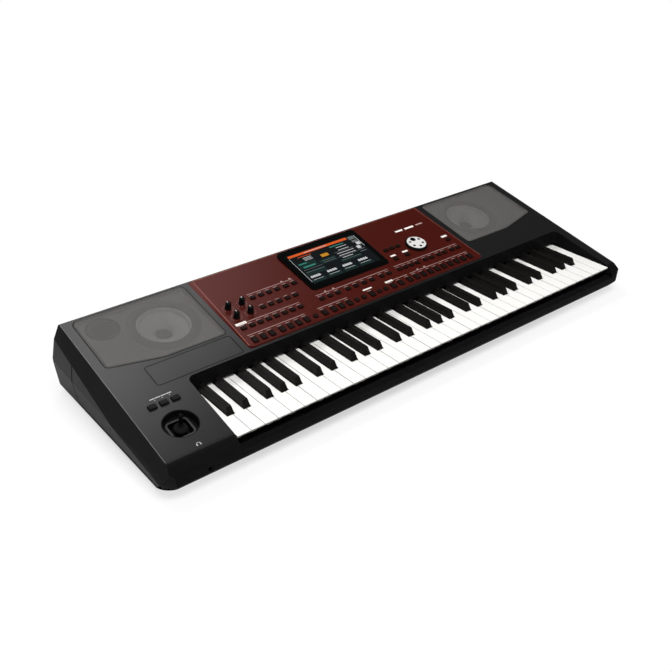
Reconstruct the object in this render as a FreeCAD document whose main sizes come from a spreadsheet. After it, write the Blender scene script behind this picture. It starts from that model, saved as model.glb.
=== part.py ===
"""Arranger keyboard with 61 keys, drawn in millimetres.

X runs to the player's right, Y away from the player and Z up.  The origin lies on the floor under
the middle of the case.  Pieces on the sloped deck are drawn in the deck's own frame: x along the
keys, y up the slope and z out of the deck, measured from the deck point above the origin.
"""
import FreeCAD
import Part
import math
import os
from types import SimpleNamespace

V = FreeCAD.Vector

# Named sizes: name, value, what it sets
SIZES = [
    ("deck_back_y", 162.0, "rear edge of the deck"),
    ("deck_back_z", 127.0, "height of that edge above the floor"),
    ("deck_rise", 0.2161, "rise of the deck for each millimetre towards the back"),
    ("left_block", 110.2, "least width of the deck to the left of the keys"),
    ("right_block", 21.8, "width of the deck to the right of the keys"),
    ("deck_front_y", -167.4, "front edge of the deck on the end blocks"),
    ("base_z", 10.0, "underside of the lower case, the height of the feet"),
    ("base_spread", 11.0, "reach of the underside beyond the deck's side edges"),
    ("low_lean", 0.115, "outward lean of the lower side walls"),
    ("side_lean", 0.165, "inward lean of the upper side walls"),
    ("bevel_lean", 0.393, "inward lean of the bevel below the deck edge"),
    ("parting_z", 48.97, "height of the parting line above the origin"),
    ("parting_rise", 0.0757, "rise of the parting line towards the back"),
    ("back_base_y", 182.0, "rear edge of the underside"),
    ("front_y", -182.0, "front face of the case"),
    ("nose_z", 40.0, "height where the front face turns back to the deck edge"),
    ("chin_z", 23.0, "height where the front face turns under"),
    ("chin_y", -170.0, "front edge of the underside"),
    ("nose_round", 14.0, "rounding of the upper front edges in side view"),
    ("chin_round", 9.0, "rounding of the lower front edge in side view"),
    ("edge_round", 3.0, "rounding of the rear and bottom edges in side view"),
    ("front_corner", 30.0, "radius of the front corners in plan"),
    ("back_corner", 18.0, "radius of the rear corners in plan"),
    ("corner_relief", 1.0, "how far outside the walls those roundings are drawn"),
    ("wall", 3.0, "wall thickness of the case"),
    ("groove_y", 102.0, "side groove, distance of its upright run from the middle"),
    ("groove_top_z", 84.0, "upper end of the side groove"),
    ("groove_low_z", 15.0, "height of the level run of the side groove"),
    ("groove_width", 2.5, "width of the side groove"),
    ("groove_bend", 14.0, "bend radius of the side groove"),
    ("let_in_gap", 0.4, "gap around a piece let into the case"),
    ("seam", 0.7, "visible gap around the grilles and the hatch cover"),
    ("move_gap", 0.3, "gap left at rest beside a piece that moves"),
    ("key_pitch", 23.5, "pitch of the white keys"),
    ("key_gap", 0.8, "gap between two white keys"),
    ("well_gap", 1.5, "gap between the end keys and the end blocks"),
    ("key_front_y", -170.0, "front edge of the white keys"),
    ("key_top_z", 53.1, "top of the white keys"),
    ("key_plate", 3.0, "thickness of the white key tops"),
    ("key_plate_back_y", -24.0, "rear end of the white key tops"),
    ("key_edge_break", 0.8, "broken front edge of a white key"),
    ("black_front_y", -120.5, "front foot of the black keys"),
    ("black_back_y", -38.5, "rear end of the black key tops"),
    ("black_height", 11.5, "height of the black keys above the white ones"),
    ("black_width", 12.0, "width of a black key at its foot"),
    ("black_top_width", 9.0, "width of a black key at its top"),
    ("black_slope", 5.5, "run of the sloped front of a black key"),
    ("black_gap", 1.0, "gap beside a black key"),
    ("black_skirt", 4.0, "depth of the black key skirt below the white tops"),
    ("black_stem_inset", 10.0, "distance of the lever of a black key from its front"),
    ("pair_shift", 2.4, "sideways shift of the two grouped black keys"),
    ("trio_shift", 3.5, "sideways shift of the outer two of three black keys"),
    ("stem_width", 10.0, "width of the lever under a key"),
    ("stem_low_z", 38.0, "underside of the levers"),
    ("stem_front_y", -158.0, "front end of the levers of the white keys"),
    ("key_back_y", 32.0, "rear end of the levers"),
    ("hinge_y", 24.0, "hinge rod of the keys"),
    ("hinge_z", 44.0, "height of the hinge rod"),
    ("hinge_radius", 2.0, "radius of the hinge rod"),
    ("hinge_play", 0.05, "running fit of a key on the rod"),
    ("key_travel", 3.0, "tilt of a pressed key in degrees"),
    ("fallboard_y", -35.9, "front of the wall above the rear of the keys"),
    ("fallboard_z", 58.5, "lower edge of that wall"),
    ("fallboard_round", 12.0, "rounding where that wall meets the end blocks"),
    ("rail_depth", 14.0, "depth of the shelf of the front rail"),
    ("frame_z", 17.0, "underside of the key frame"),
    ("frame_plate", 2.0, "thickness of the key frame and its uprights"),
    ("frame_front_y", -152.0, "front of the key frame"),
    ("frame_back_y", 36.0, "rear of the key frame"),
    ("frame_boss", 10.0, "side of the square bosses under the key frame"),
    ("frame_boss_inset", 30.0, "distance of those bosses from the frame's edges"),
    ("felt_depth", 12.0, "depth of the stop felt"),
    ("felt_height", 2.8, "thickness of the stop felt"),
    ("contact_front_y", -62.0, "front of the key contact board"),
    ("contact_back_y", -22.0, "rear of the key contact board"),
    ("contact_inset", 4.0, "distance of that board from the ends of the key well"),
    ("contact_stand", 3.0, "height of that board above the key frame"),
    ("felt_inset", 2.0, "distance of the stop felts from the ends of the key well"),
    ("lug_half", 8.0, "half the depth of the lugs of the hinge rod"),
    ("lug_above", 6.0, "height of those lugs above the rod"),
    ("board_thick", 1.6, "thickness of the circuit boards"),
    ("dome_y", -46.0, "middle of the contact strip"),
    ("dome_half", 4.0, "half the width of the ridge on the contact strip"),
    ("strip_half", 7.0, "half the width of the contact strip"),
    ("strip_thick", 1.2, "thickness of the contact strip"),
    ("board_margin", 4.0, "contact board short of the ends of the key well"),
    ("panel_half", 263.0, "half the width of the control panel"),
    ("panel_front", -31.7, "front edge of the control panel"),
    ("panel_back", 160.0, "rear edge of the control panel"),
    ("panel_thick", 2.5, "thickness of the control panel"),
    ("panel_corner", 7.0, "radius of the panel's front corners"),
    ("panel_back_corner", 1.0, "radius of the panel's rear corners"),
    ("panel_bevel_front", 1.5, "width of the panel's side bevel at the front"),
    ("panel_bevel_rear", 1.0, "width of the bevel along the panel's rear edge"),
    ("panel_bevel_back", 8.0, "width of the panel's side bevel at the back"),
    ("panel_seat", 9.0, "width of the deck border under the panel's sides and back"),
    ("panel_seat_front", 4.0, "width of the deck border under the panel's front"),
    ("bezel_half", 88.0, "half the width of the screen bezel"),
    ("bezel_front", 36.8, "front edge of the screen bezel"),
    ("bezel_back", 152.4, "rear edge of the screen bezel"),
    ("bezel_low", 1.0, "height of the bezel above the panel at its front"),
    ("bezel_high", 5.0, "height of the bezel above the panel at its back"),
    ("bezel_corner", 8.0, "corner radius of the screen bezel"),
    ("screen_gap", 4.0, "distance of the panel board from the bezel"),
    ("glass_margin", 4.0, "border of the bezel around the glass"),
    ("glass_thick", 0.8, "thickness of the touch glass"),
    ("lcd_border", 10.0, "border of the bezel around the display module"),
    ("lcd_deep", 7.0, "thickness of the display module"),
    ("grille_gap", 11.5, "deck between the control panel and a speaker grille"),
    ("grille_margin", 17.0, "deck between a speaker grille and the side edge"),
    ("grille_back", 158.6, "rear side of a speaker grille"),
    ("grille_front", 18.4, "front side of a speaker grille"),
    ("grille_taper", 88.0, "length of the front side's slanted outer part"),
    ("grille_slant", 20.1, "how far that part slants back"),
    ("grille_corner", 8.0, "corner radius of a speaker grille"),
    ("grille_thick", 1.2, "thickness of the grille sheet"),
    ("grille_rim", 4.0, "ledge that carries the grille"),
    ("baffle_depth", 6.0, "depth of the speaker baffle below the deck"),
    ("woofer_clear", 13.5, "distance of a woofer from the inner side of its grille"),
    ("woofer_behind", 8.6, "distance of a woofer from the rear side of its grille"),
    ("woofer_radius", 58.0, "flange radius of a woofer"),
    ("woofer_hole", 50.0, "radius of the baffle hole for a woofer"),
    ("woofer_deep", 46.0, "depth of a woofer behind its flange"),
    ("magnet_radius", 30.0, "radius of a woofer magnet"),
    ("magnet_height", 18.0, "height of a woofer magnet"),
    ("surround_width", 9.0, "width of the rolled surround of a cone"),
    ("cone_deep", 20.0, "depth of a cone"),
    ("basket_wall", 2.0, "wall of the basket of a woofer"),
    ("basket_step", 1.0, "step of the basket outside the baffle hole"),
    ("cone_play", 0.5, "gap between a cone and its basket"),
    ("cap_rise", 3.0, "height of a dust cap"),
    ("roll_rise", 2.2, "height of the rolled edge of a cone above the flange"),
    ("rim_sink", 1.5, "depth of the rim of a cone below the flange"),
    ("rim_thick", 1.5, "thickness of the rolled edge"),
    ("cone_sink", 2.0, "depth of the outer edge of the paper below the flange"),
    ("cone_thick", 1.6, "thickness of the paper at that edge"),
    ("coil_inset", 1.0, "how far the coil lies inside the dust cap"),
    ("coil_deep", 2.0, "half the depth of the coil below the cone"),
    ("cap_radius", 13.0, "radius of the dust cap of a cone"),
    ("port_gap", 10.0, "sideways distance between a woofer and a bass port"),
    ("port_clear", 18.0, "distance of a bass port from the outer side of its grille"),
    ("port_behind", 10.6, "distance of a bass port from the rear side of its grille"),
    ("port_wall", 1.6, "wall thickness of a bass port"),
    ("port_radius", 20.0, "inner radius of a bass port"),
    ("port_deep", 40.0, "length of a bass port"),
    ("hatch_margin", 65.0, "deck between the side edge and the hatch cover"),
    ("hatch_gap", 12.0, "deck between the hatch cover and the control panel"),
    ("hatch_ledge", 5.0, "ledge that carries the hatch cover"),
    ("hatch_front", -31.7, "front side of the hatch cover"),
    ("hatch_back", 11.3, "rear side of the hatch cover"),
    ("hatch_corner", 4.0, "corner radius of the hatch cover"),
    ("hatch_thick", 1.6, "thickness of the hatch cover"),
    ("joy_y", -114.3, "middle of the joystick, up the slope"),
    ("joy_radius", 27.3, "radius of the joystick well"),
    ("joy_depth", 10.0, "depth of the floor of the well"),
    ("joy_wall", 2.0, "wall thickness of the well and of its frame"),
    ("joy_gap", 0.15, "gap between the well and the hole in the deck"),
    ("joy_sunk", 0.2, "depth of the well's rim below the deck"),
    ("joy_rim", 1.2, "width of the well's rim"),
    ("joy_slant", 3.0, "narrowing of the well towards its floor"),
    ("joy_flange", 4.0, "flange of the well under the deck"),
    ("joy_hole_corner", 5.0, "corner radius of the square hole in the floor"),
    ("joy_hole", 15.0, "half the side of the square hole in the floor"),
    ("joy_pivot", 22.0, "depth of the joystick's crossed axes below the deck"),
    ("joy_tip", 16.5, "height of the stick above the deck"),
    ("joy_frame_room", 6.0, "distance of the outside of the joystick frame from the yoke"),
    ("joy_frame_below", 12.0, "depth of the joystick frame below the pivot"),
    ("hub_gap", 1.5, "gap between the foot of the stick and the yoke"),
    ("skirt_gap", 3.5, "height of the skirt of the stick above the yoke"),
    ("skirt_height", 8.0, "height of that skirt"),
    ("knuckle_below", 2.5, "depth of the knuckle of the stick below the pivot"),
    ("joy_stick_radius", 3.0, "radius of the stick"),
    ("yoke_half", 12.0, "half the side of the tilting yoke"),
    ("yoke_bar", 4.0, "bar width of the tilting yoke"),
    ("yoke_thick", 6.0, "thickness of the tilting yoke"),
    ("pin_radius", 1.8, "radius of the joystick's pins"),
    ("pin_play", 0.05, "running fit of the joystick's pins"),
    ("switch_pitch", 18.8, "pitch of the three switches"),
    ("switch_y", -67.0, "position of the switches up the slope"),
    ("switch_width", 13.0, "width of a switch cap"),
    ("switch_depth", 8.5, "depth of a switch cap"),
    ("switch_proud", 3.0, "height of a switch cap above the deck"),
    ("cap_width", 10.0, "width of a panel button"),
    ("cap_depth", 7.0, "depth of a low panel button"),
    ("tall_depth", 12.5, "depth of a tall panel button"),
    ("dot_radius", 4.5, "radius of a round panel button"),
    ("cap_proud", 2.5, "height of a panel button above the panel"),
    ("flange_edge", 1.0, "width of the retaining edges of a button or switch"),
    ("flange_thick", 1.2, "thickness of those edges"),
    ("touch_side", 6.0, "width of the small switches under the buttons"),
    ("dial_pot_side", 10.0, "side of the parts under the knobs and the dial"),
    ("pot_gap", 1.0, "top of those parts below the deck"),
    ("panel_board_margin", 15.0, "distance of the panel board from the panel's sides"),
    ("panel_board_back", 105.0, "rear edge of the panel board beside the screen"),
    ("standoff_side", 5.0, "side of the square standoffs under the panel"),
    ("panel_board_depth", 8.0, "top of the panel board below the deck"),
    ("touch_run", 45.0, "largest distance between buttons on one switch strip"),
    ("touch_height", 1.7, "height of the small switches on the panel board"),
    ("button_travel", 0.5, "stroke of the buttons"),
    ("row_top_y", 71.8, "upper row of buttons"),
    ("row_high_y", 43.2, "second row of buttons"),
    ("small_shift", 2.0, "how far the small buttons stand in front of the second row"),
    ("row_middle_y", 13.0, "third row of buttons"),
    ("row_low_y", -19.2, "lowest row of buttons"),
    ("knob_radius", 5.5, "radius of a knob"),
    ("knob_height", 11.5, "height of a knob"),
    ("knob_clear", 0.5, "gap between the panel and the knobs and dial"),
    ("knob_draft", 0.6, "narrowing of a knob and of the dial towards the top"),
    ("knob_bevel", 0.9, "bevel at the top of a knob"),
    ("knob_left", -241.0, "left column of knobs"),
    ("knob_pitch_x", 27.0, "distance between the two columns of knobs"),
    ("knob_top_y", 68.0, "upper row of knobs"),
    ("knob_pitch_y", 26.0, "distance between the two rows of knobs"),
    ("shaft_radius", 3.0, "radius of the knob and dial shafts"),
    ("dial_x", 171.5, "middle of the dial, sideways"),
    ("dial_y", 58.8, "middle of the dial, up the slope"),
    ("dial_radius", 21.5, "radius of the dial"),
    ("dial_height", 6.0, "height of the dial"),
    ("dial_bevel", 1.5, "bevel at the top of the dial"),
    ("dimple_radius", 5.0, "radius of the finger dimple in the dial"),
    ("dimple_offset", 10.6, "distance of the dimple from the dial's middle"),
    ("dimple_deep", 1.5, "depth of that dimple"),
    ("foot_radius", 12.0, "radius of a foot"),
    ("foot_margin", 60.0, "distance of the feet from the sides of the underside"),
    ("foot_front", 30.0, "distance of the front feet from its front edge"),
    ("foot_back", 37.0, "distance of the rear feet from its rear edge"),
    ("post_side", 9.0, "side of the square screw posts"),
    ("post_front_y", -118.0, "front screw posts"),
    ("post_middle_y", 60.0, "middle screw posts"),
    ("post_margin", 7.0, "distance of the screw posts from the deck's side edges"),
    ("post_back", 12.0, "distance of the rear screw posts from the deck's rear edge"),
    ("rear_panel_margin", 26.0, "rear panel beyond the middles of its outer sockets"),
    ("rear_panel_sill", 7.0, "height of the lower case below the rear panel, up the rear wall"),
    ("socket_up", 23.0, "height of the socket axes, up the rear wall"),
    ("socket_deep", 18.0, "depth of the sockets behind the rear wall"),
    ("socket_half", 10.0, "half the height of the socket bodies"),
    ("socket_proud", 1.0, "how far the sockets stand out of the rear wall"),
    ("jack_radius", 3.25, "bore radius of the quarter-inch jacks"),
    ("jack_sleeve", 5.5, "half the width of the jack noses"),
    ("jack_bore", 20.0, "depth of the jack bores"),
    ("jack_half", 8.0, "half the width of a jack body"),
    ("jack_right_x", 240.0, "position of the first rear jack"),
    ("jack_pitch", 28.0, "pitch of the rear jacks"),
    ("din_right_x", 122.0, "position of the first round data socket"),
    ("din_radius", 7.2, "inner radius of a round data socket"),
    ("din_wall", 1.5, "wall thickness of a round data socket"),
    ("din_deep", 7.0, "depth of a round data socket"),
    ("usb_x", 60.0, "position of the square data socket"),
    ("usb_width", 12.0, "width of the square data socket"),
    ("usb_height", 11.0, "height of the square data socket"),
    ("usb_wall", 1.7, "wall thickness of the square data socket"),
    ("usb_deep", 9.0, "depth of the square data socket"),
    ("inlet_x", -4.0, "position of the power inlet"),
    ("inlet_width", 26.0, "width of the power inlet"),
    ("inlet_height", 17.0, "height of the power inlet"),
    ("inlet_wall", 2.0, "wall thickness of the power inlet"),
    ("inlet_deep", 12.0, "depth of the power inlet"),
    ("inlet_pin_radius", 1.2, "radius of the pins in the power inlet"),
    ("inlet_pin_pitch", 8.6, "distance between the pins in the power inlet"),
    ("power_x", -42.0, "position of the power button"),
    ("power_width", 10.0, "width of the power button"),
    ("power_height", 8.0, "height of the power button"),
    ("power_root", 4.0, "depth of the wide root of the power button"),
    ("power_proud", 3.2, "height of the power button above the rear wall"),
    ("power_travel", 2.0, "stroke of the power button"),
    ("power_flange", 4.0, "how much wider the root of the power button is"),
    ("jack_board_above", 8.0, "reach of the jack board above the sockets"),
    ("jack_board_below", 2.0, "reach of the jack board below the sockets"),
    ("phones_shift", 2.6, "sideways shift of the headphone jack from the joystick"),
    ("phones_z", 29.0, "height of the headphone jack"),
    ("phones_sleeve", 4.5, "outer radius of the headphone jack's sleeve"),
    ("board_z", 21.0, "underside of the boards on the lower case"),
    ("boss_side", 8.0, "side of the square bosses under the boards"),
    ("main_left", -200.0, "left side of the main board"),
    ("main_width", 240.0, "width of the main board"),
    ("main_front", 50.0, "front edge of the main board"),
    ("main_depth", 85.0, "depth of the main board"),
    ("amp_left", 90.0, "left side of the amplifier board"),
    ("amp_width", 140.0, "width of the amplifier board"),
    ("amp_depth", 80.0, "depth of the amplifier board"),
    ("sink_height", 22.0, "height of the cooling fins"),
    ("fin_pitch", 9.0, "pitch of the cooling fins"),
    ("fin_thick", 2.0, "thickness of the cooling fins"),
    ("fin_depth", 18.0, "depth of the cooling fins"),
    ("supply_left", -455.0, "left side of the power supply"),
    ("supply_width", 120.0, "width of the power supply"),
    ("supply_depth", 80.0, "depth of the power supply"),
    ("supply_height", 28.0, "height of the power supply"),
    ("slot_width", 3.0, "width of the air slots of the power supply"),
    ("slot_pitch", 10.0, "pitch of those slots"),
    ("slot_margin", 15.0, "distance of those slots from its sides"),
    ("slot_deep", 1.5, "depth of those slots"),
]

# Counts, and how far cuts reach past what they cut
WHITE_KEYS = 36
NOTES = 7
OCTAVES = 5
FRAME_BOSSES = 5
CONTACT_POSTS = 7
CUT_PAST = 5.0
CUT_FAR = 100.0

doc = FreeCAD.newDocument("arranger_keyboard")
sheet = doc.addObject("Spreadsheet::Sheet", "sizes")
for row, (name, value, note) in enumerate(SIZES, start=1):
    sheet.set(f"A{row}", name)
    sheet.set(f"B{row}", str(value))
    sheet.set(f"C{row}", note)
    sheet.setAlias(f"B{row}", name)
doc.recompute()
s = SimpleNamespace(**{name: float(sheet.get(name)) for name, _, _ in SIZES})

# Derived positions
deck_angle = math.degrees(math.atan(s.deck_rise))
deck_z = s.deck_back_z - s.deck_back_y * s.deck_rise
DECK = FreeCAD.Placement(V(0, 0, deck_z), FreeCAD.Rotation(V(1, 0, 0), deck_angle))
key_span = WHITE_KEYS * s.key_pitch
octave = NOTES * s.key_pitch
speaker_width = (s.woofer_clear + 2 * s.woofer_radius + s.port_gap + 2 * s.port_radius + s.port_clear)
speaker_half = s.panel_half + s.grille_gap + speaker_width + s.grille_margin
deck_half = max(speaker_half, (s.left_block + key_span + s.right_block) / 2)
base_half = deck_half + s.base_spread
key_left = deck_half - s.right_block - key_span
well_left = key_left - s.well_gap
well_right = key_left + key_span + s.well_gap
block_middle = (well_left - deck_half) / 2
grille_in = s.panel_half + s.grille_gap
grille_out = deck_half - s.grille_margin
woofer_x = grille_in + s.woofer_clear + s.woofer_radius
woofer_y = s.grille_back - s.woofer_behind - s.woofer_radius
port_x = grille_out - s.port_clear - s.port_radius
port_y = s.grille_back - s.port_behind - s.port_radius
hatch_left = s.hatch_margin - deck_half
hatch_right = -s.panel_half - s.hatch_gap
phones_x = block_middle + s.phones_shift
floor_z = s.base_z + s.wall
rear_angle = math.degrees(math.atan2(s.back_base_y - s.deck_back_y, s.deck_back_z - s.base_z))
REAR = FreeCAD.Placement(V(0, s.back_base_y, s.base_z), FreeCAD.Rotation(V(1, 0, 0), rear_angle))
SIDES = (("left", -1), ("right", 1))

# Flat sides that stand for round ones
CORNER_STRIPS = 8
CONE_SIDES = 20
PORT_SIDES = 16
WELL_SIDES = 24
STICK_SIDES = 12
KNOB_SIDES = 16
DIAL_SIDES = 32
SMALL_SIDES = 8
ROD_SIDES = 12
NODES = []


def deck_height(y):
    """Height of the deck plane above the floor at a plan distance y."""
    return s.deck_back_z - (s.deck_back_y - y) * s.deck_rise


def parting_height(y):
    """Height of the parting plane between the two case halves."""
    return s.parting_z + y * s.parting_rise


def spread(start, pitch, count):
    """Evenly spaced positions."""
    return [start + pitch * step for step in range(count)]


# Outlines and solids
def rounded(points, radius):
    """Closed outline through the points, with a tangent arc of the radius at every corner."""
    count = len(points)
    radii = list(radius) if isinstance(radius, (list, tuple)) else [radius] * count
    corners = []
    for i in range(count):
        here = V(points[i][0], points[i][1], 0)
        back = V(points[i - 1][0], points[i - 1][1], 0).sub(here).normalize()
        ahead = V(points[(i + 1) % count][0], points[(i + 1) % count][1], 0).sub(here).normalize()
        if radii[i] <= 0:
            corners.append((here, None, here))
            continue
        half = back.getAngle(ahead) / 2
        reach = radii[i] / math.tan(half)
        bisector = back.add(ahead).normalize()
        centre = here.add(bisector * (radii[i] / math.sin(half)))
        middle = centre.sub(bisector * radii[i])
        corners.append((here.add(back * reach), middle, here.add(ahead * reach)))
    edges = []
    for i, (start, middle, end) in enumerate(corners):
        if middle is not None:
            edges.append(Part.ArcOfCircle(start, middle, end))
        following = corners[(i + 1) % count][0]
        if following.sub(end).Length > 1e-6:
            edges.append(Part.LineSegment(end, following))
    return edges


def rectangle(x0, x1, y0, y1, radius=0.0):
    """Rectangular outline with rounded corners."""
    return rounded([(x0, y0), (x1, y0), (x1, y1), (x0, y1)], radius)


def middle_rectangle(x, y, width, depth):
    """Rectangular outline about a middle point."""
    return rectangle(x - width / 2, x + width / 2, y - depth / 2, y + depth / 2)


def ring(x, y, radius):
    """Round outline."""
    return [Part.Circle(V(x, y, 0), V(0, 0, 1), radius)]


def polygon(x, y, radius, sides):
    """Outline with equal sides and its corners on a circle."""
    turns = [2 * math.pi * (step + 0.5) / sides for step in range(sides)]
    return rounded([(x + radius * math.cos(turn), y + radius * math.sin(turn)) for turn in turns], 0.0)


def prism(outline, low, high):
    """Solid between two heights over an outline."""
    wire = Part.Wire([edge.toShape() for edge in outline])
    face = Part.Face(wire)
    face.translate(V(0, 0, low))
    return face.extrude(V(0, 0, high - low))


def block(x0, x1, y0, y1, z0, z1):
    """Rectangular solid between two corners."""
    return Part.makeBox(x1 - x0, y1 - y0, z1 - z0, V(x0, y0, z0))


def rod(radius, start, end):
    """Round solid between two points."""
    along = V(*end).sub(V(*start))
    return Part.makeCylinder(radius, along.Length, V(*start), along)


def many_sided(points, sides):
    """Solid about Z out of flat strips: points are radius and height of its closed half section."""
    rays = [V(math.cos(2 * math.pi * step / sides), math.sin(2 * math.pi * step / sides), 0)
            for step in range(sides)]
    faces = []
    for (radius, height), (next_radius, next_height) in zip(points, points[1:] + points[:1]):
        if radius == 0 and next_radius == 0:
            continue
        for ray, next_ray in zip(rays, rays[1:] + rays[:1]):
            low = V(0, 0, height)
            high = V(0, 0, next_height)
            corners = [ray * radius + low, next_ray * radius + low,
                       next_ray * next_radius + high, ray * next_radius + high]
            if radius == 0:
                corners.pop(0)
            if next_radius == 0:
                corners.pop()
            faces.append(Part.Face(Part.makePolygon(corners + corners[:1])))
    shell = Part.makeShell(faces)
    shell.sewShape()
    solid = Part.makeSolid(shell)
    solid.fix(1e-6, 1e-6, 1e-6)
    return solid.removeSplitter()


def rod_x(radius, y, z, x0, x1, sides):
    """Solid with flat sides along x."""
    bar = prism(polygon(y, z, radius, sides), x0, x1)
    bar.Placement = FreeCAD.Placement(V(0, 0, 0), FreeCAD.Rotation(V(1, 1, 1), 120))
    return bar


def rod_y(radius, x, z, y0, y1, sides):
    """Solid with flat sides along y."""
    bar = prism(polygon(x, -z, radius, sides), y0, y1)
    bar.Placement = FreeCAD.Placement(V(0, 0, 0), FreeCAD.Rotation(V(1, 0, 0), -90))
    return bar


def on_deck(shape):
    """Move a solid drawn in the deck frame to its place on the case."""
    moved = shape.copy()
    moved.Placement = DECK.multiply(moved.Placement)
    return moved


def on_rear(shape):
    """Move a solid drawn in the frame of the rear wall, y out of it and z up it, to its place."""
    moved = shape.copy()
    moved.Placement = REAR.multiply(moved.Placement)
    return moved


def across(outline, half):
    """Solid between -half and half in x over an outline drawn in y and z."""
    band = prism(outline, -half, half)
    band.Placement = FreeCAD.Placement(V(0, 0, 0), FreeCAD.Rotation(V(1, 1, 1), 120))
    return band


def join(shapes):
    """One solid out of several."""
    return shapes[0].multiFuse(shapes[1:]).removeSplitter() if len(shapes) > 1 else shapes[0]


# Document objects
def add_shape(label, shape):
    """A piece whose form is worked out above from the sheet's values."""
    feature = doc.addObject("Part::Feature", label)
    feature.Label = label
    feature.Shape = shape
    NODES.append(feature)
    return feature


def add_body(label, placement=None):
    """A piece built from sketches."""
    body = doc.addObject("PartDesign::Body", label)
    body.Label = label
    body.AllowCompound = True
    if placement is not None:
        body.Placement = placement
    NODES.append(body)
    return body


def add_sketch(body, role, outlines, offset=0.0):
    """A sketch on one of the body's planes, or a parallel plane at the offset."""
    sketch = body.newObject("Sketcher::SketchObject", body.Label + "_sketch")
    support = [plane for plane in body.Origin.OriginFeatures if plane.Role == role][0]
    sketch.AttachmentSupport = [(support, "")]
    sketch.MapMode = "FlatFace"
    sketch.AttachmentOffset = FreeCAD.Placement(V(0, 0, offset), FreeCAD.Rotation())
    for outline in outlines:
        sketch.addGeometry(outline, False)
    return sketch


def add_pad(body, outlines, length, offset=0.0, down=False):
    """Material over outlines, its thickness bound to the sheet."""
    pad = body.newObject("PartDesign::Pad", body.Label + "_pad")
    pad.Profile = add_sketch(body, "XY_Plane", outlines, offset)
    pad.setExpression("Length", length)
    pad.Reversed = down
    return pad


def add_pocket(body, outlines, length=None, offset=0.0, role="XY_Plane", both=False):
    """A cut below outlines, through everything or to a depth bound to the sheet."""
    pocket = body.newObject("PartDesign::Pocket", body.Label + "_pocket")
    pocket.Profile = add_sketch(body, role, outlines, offset)
    if both:
        pocket.SideType = "Symmetric"
    if length is None:
        pocket.Type = "ThroughAll"
    else:
        pocket.setExpression("Length", length)
    return pocket


def add_loft(body, sections):
    """Material between outlines, each given with its height."""
    sketches = [add_sketch(body, "XY_Plane", [outline], height) for outline, height in sections]
    loft = body.newObject("PartDesign::AdditiveLoft", body.Label + "_loft")
    loft.Profile = sketches[0]
    loft.Sections = [(sketch, [""]) for sketch in sketches[1:]]
    loft.Ruled = True
    return loft


def deck_place(x, y):
    """Placement of a piece drawn about its own middle at a deck position."""
    return DECK.multiply(FreeCAD.Placement(V(x, y, 0), FreeCAD.Rotation()))


# Form of the case
def outside(point, outward, inset):
    """Everything beyond a plane that is moved inwards by the inset."""
    size = 8 * deck_half
    normal = V(*outward).normalize()
    half_space = Part.makeBox(size, size, size, V(-size / 2, -size / 2, 0))
    place = V(*point).sub(normal * inset)
    half_space.Placement = FreeCAD.Placement(place, FreeCAD.Rotation(V(0, 0, 1), normal))
    return half_space


def inset_corners(corners, inset):
    """Corners of a closed outline, drawn to the left, after its sides are moved inwards."""
    moved = []
    for i, corner in enumerate(corners):
        here = V(*corner, 0)
        arriving = here.sub(V(*corners[i - 1], 0)).normalize()
        leaving = V(*corners[(i + 1) % len(corners)], 0).sub(here).normalize()
        normals = (V(-arriving.y, arriving.x, 0), V(-leaving.y, leaving.x, 0))
        reach = inset / (1 + normals[0].dot(normals[1]))
        place = here.add(normals[0].add(normals[1]) * reach)
        moved.append((place.x, place.y))
    return moved


def side_view(inset):
    """Side view of the case in y and z, every side moved inwards by the inset."""
    corners = [(s.chin_y, s.base_z), (s.back_base_y, s.base_z), (s.deck_back_y, s.deck_back_z),
               (s.deck_front_y, deck_height(s.deck_front_y)), (s.front_y, s.nose_z),
               (s.front_y, s.chin_z)]
    radii = [s.edge_round, s.edge_round, s.edge_round, s.nose_round, s.nose_round, s.chin_round]
    return rounded(inset_corners(corners, inset), [max(radius - inset, 0) for radius in radii])


def corner_outline(side, half, edge, into, radius):
    """Outline of what a rounding in flat strips takes off a corner in plan: half the width there,
    the line of the front or rear wall, the way from that wall into the case, and the radius."""
    x = half + s.corner_relief
    y = edge - into * s.corner_relief
    turns = [math.pi / 2 * step / CORNER_STRIPS for step in range(CORNER_STRIPS + 1)]
    points = [(x - radius + radius * math.cos(turn), y + into * radius * (1 - math.sin(turn)))
              for turn in turns]
    points += [(x - radius, y - into * radius), (x + radius, y - into * radius),
               (x + radius, y + into * radius)]
    return rounded([(side * px, py) for px, py in points], 0.0)


def front_corner_cut(side, inset):
    """What the rounding takes off a front corner, leaning with the side wall and the chin."""
    turn_under = (s.chin_y - s.front_y) / (s.chin_z - s.base_z)
    half = base_half + s.low_lean * (s.chin_z - s.base_z)
    outline = corner_outline(side, half - inset, s.front_y + inset, 1, s.front_corner - inset)
    face = Part.Face(Part.Wire([edge.toShape() for edge in outline]))
    face.translate(V(0, 0, s.chin_z))
    high = 2 * s.deck_back_z
    below = face.extrude(V(-side * s.low_lean, turn_under, -1) * s.chin_z)
    return face.extrude(V(side * s.low_lean, 0, 1) * high).fuse(below)


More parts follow.
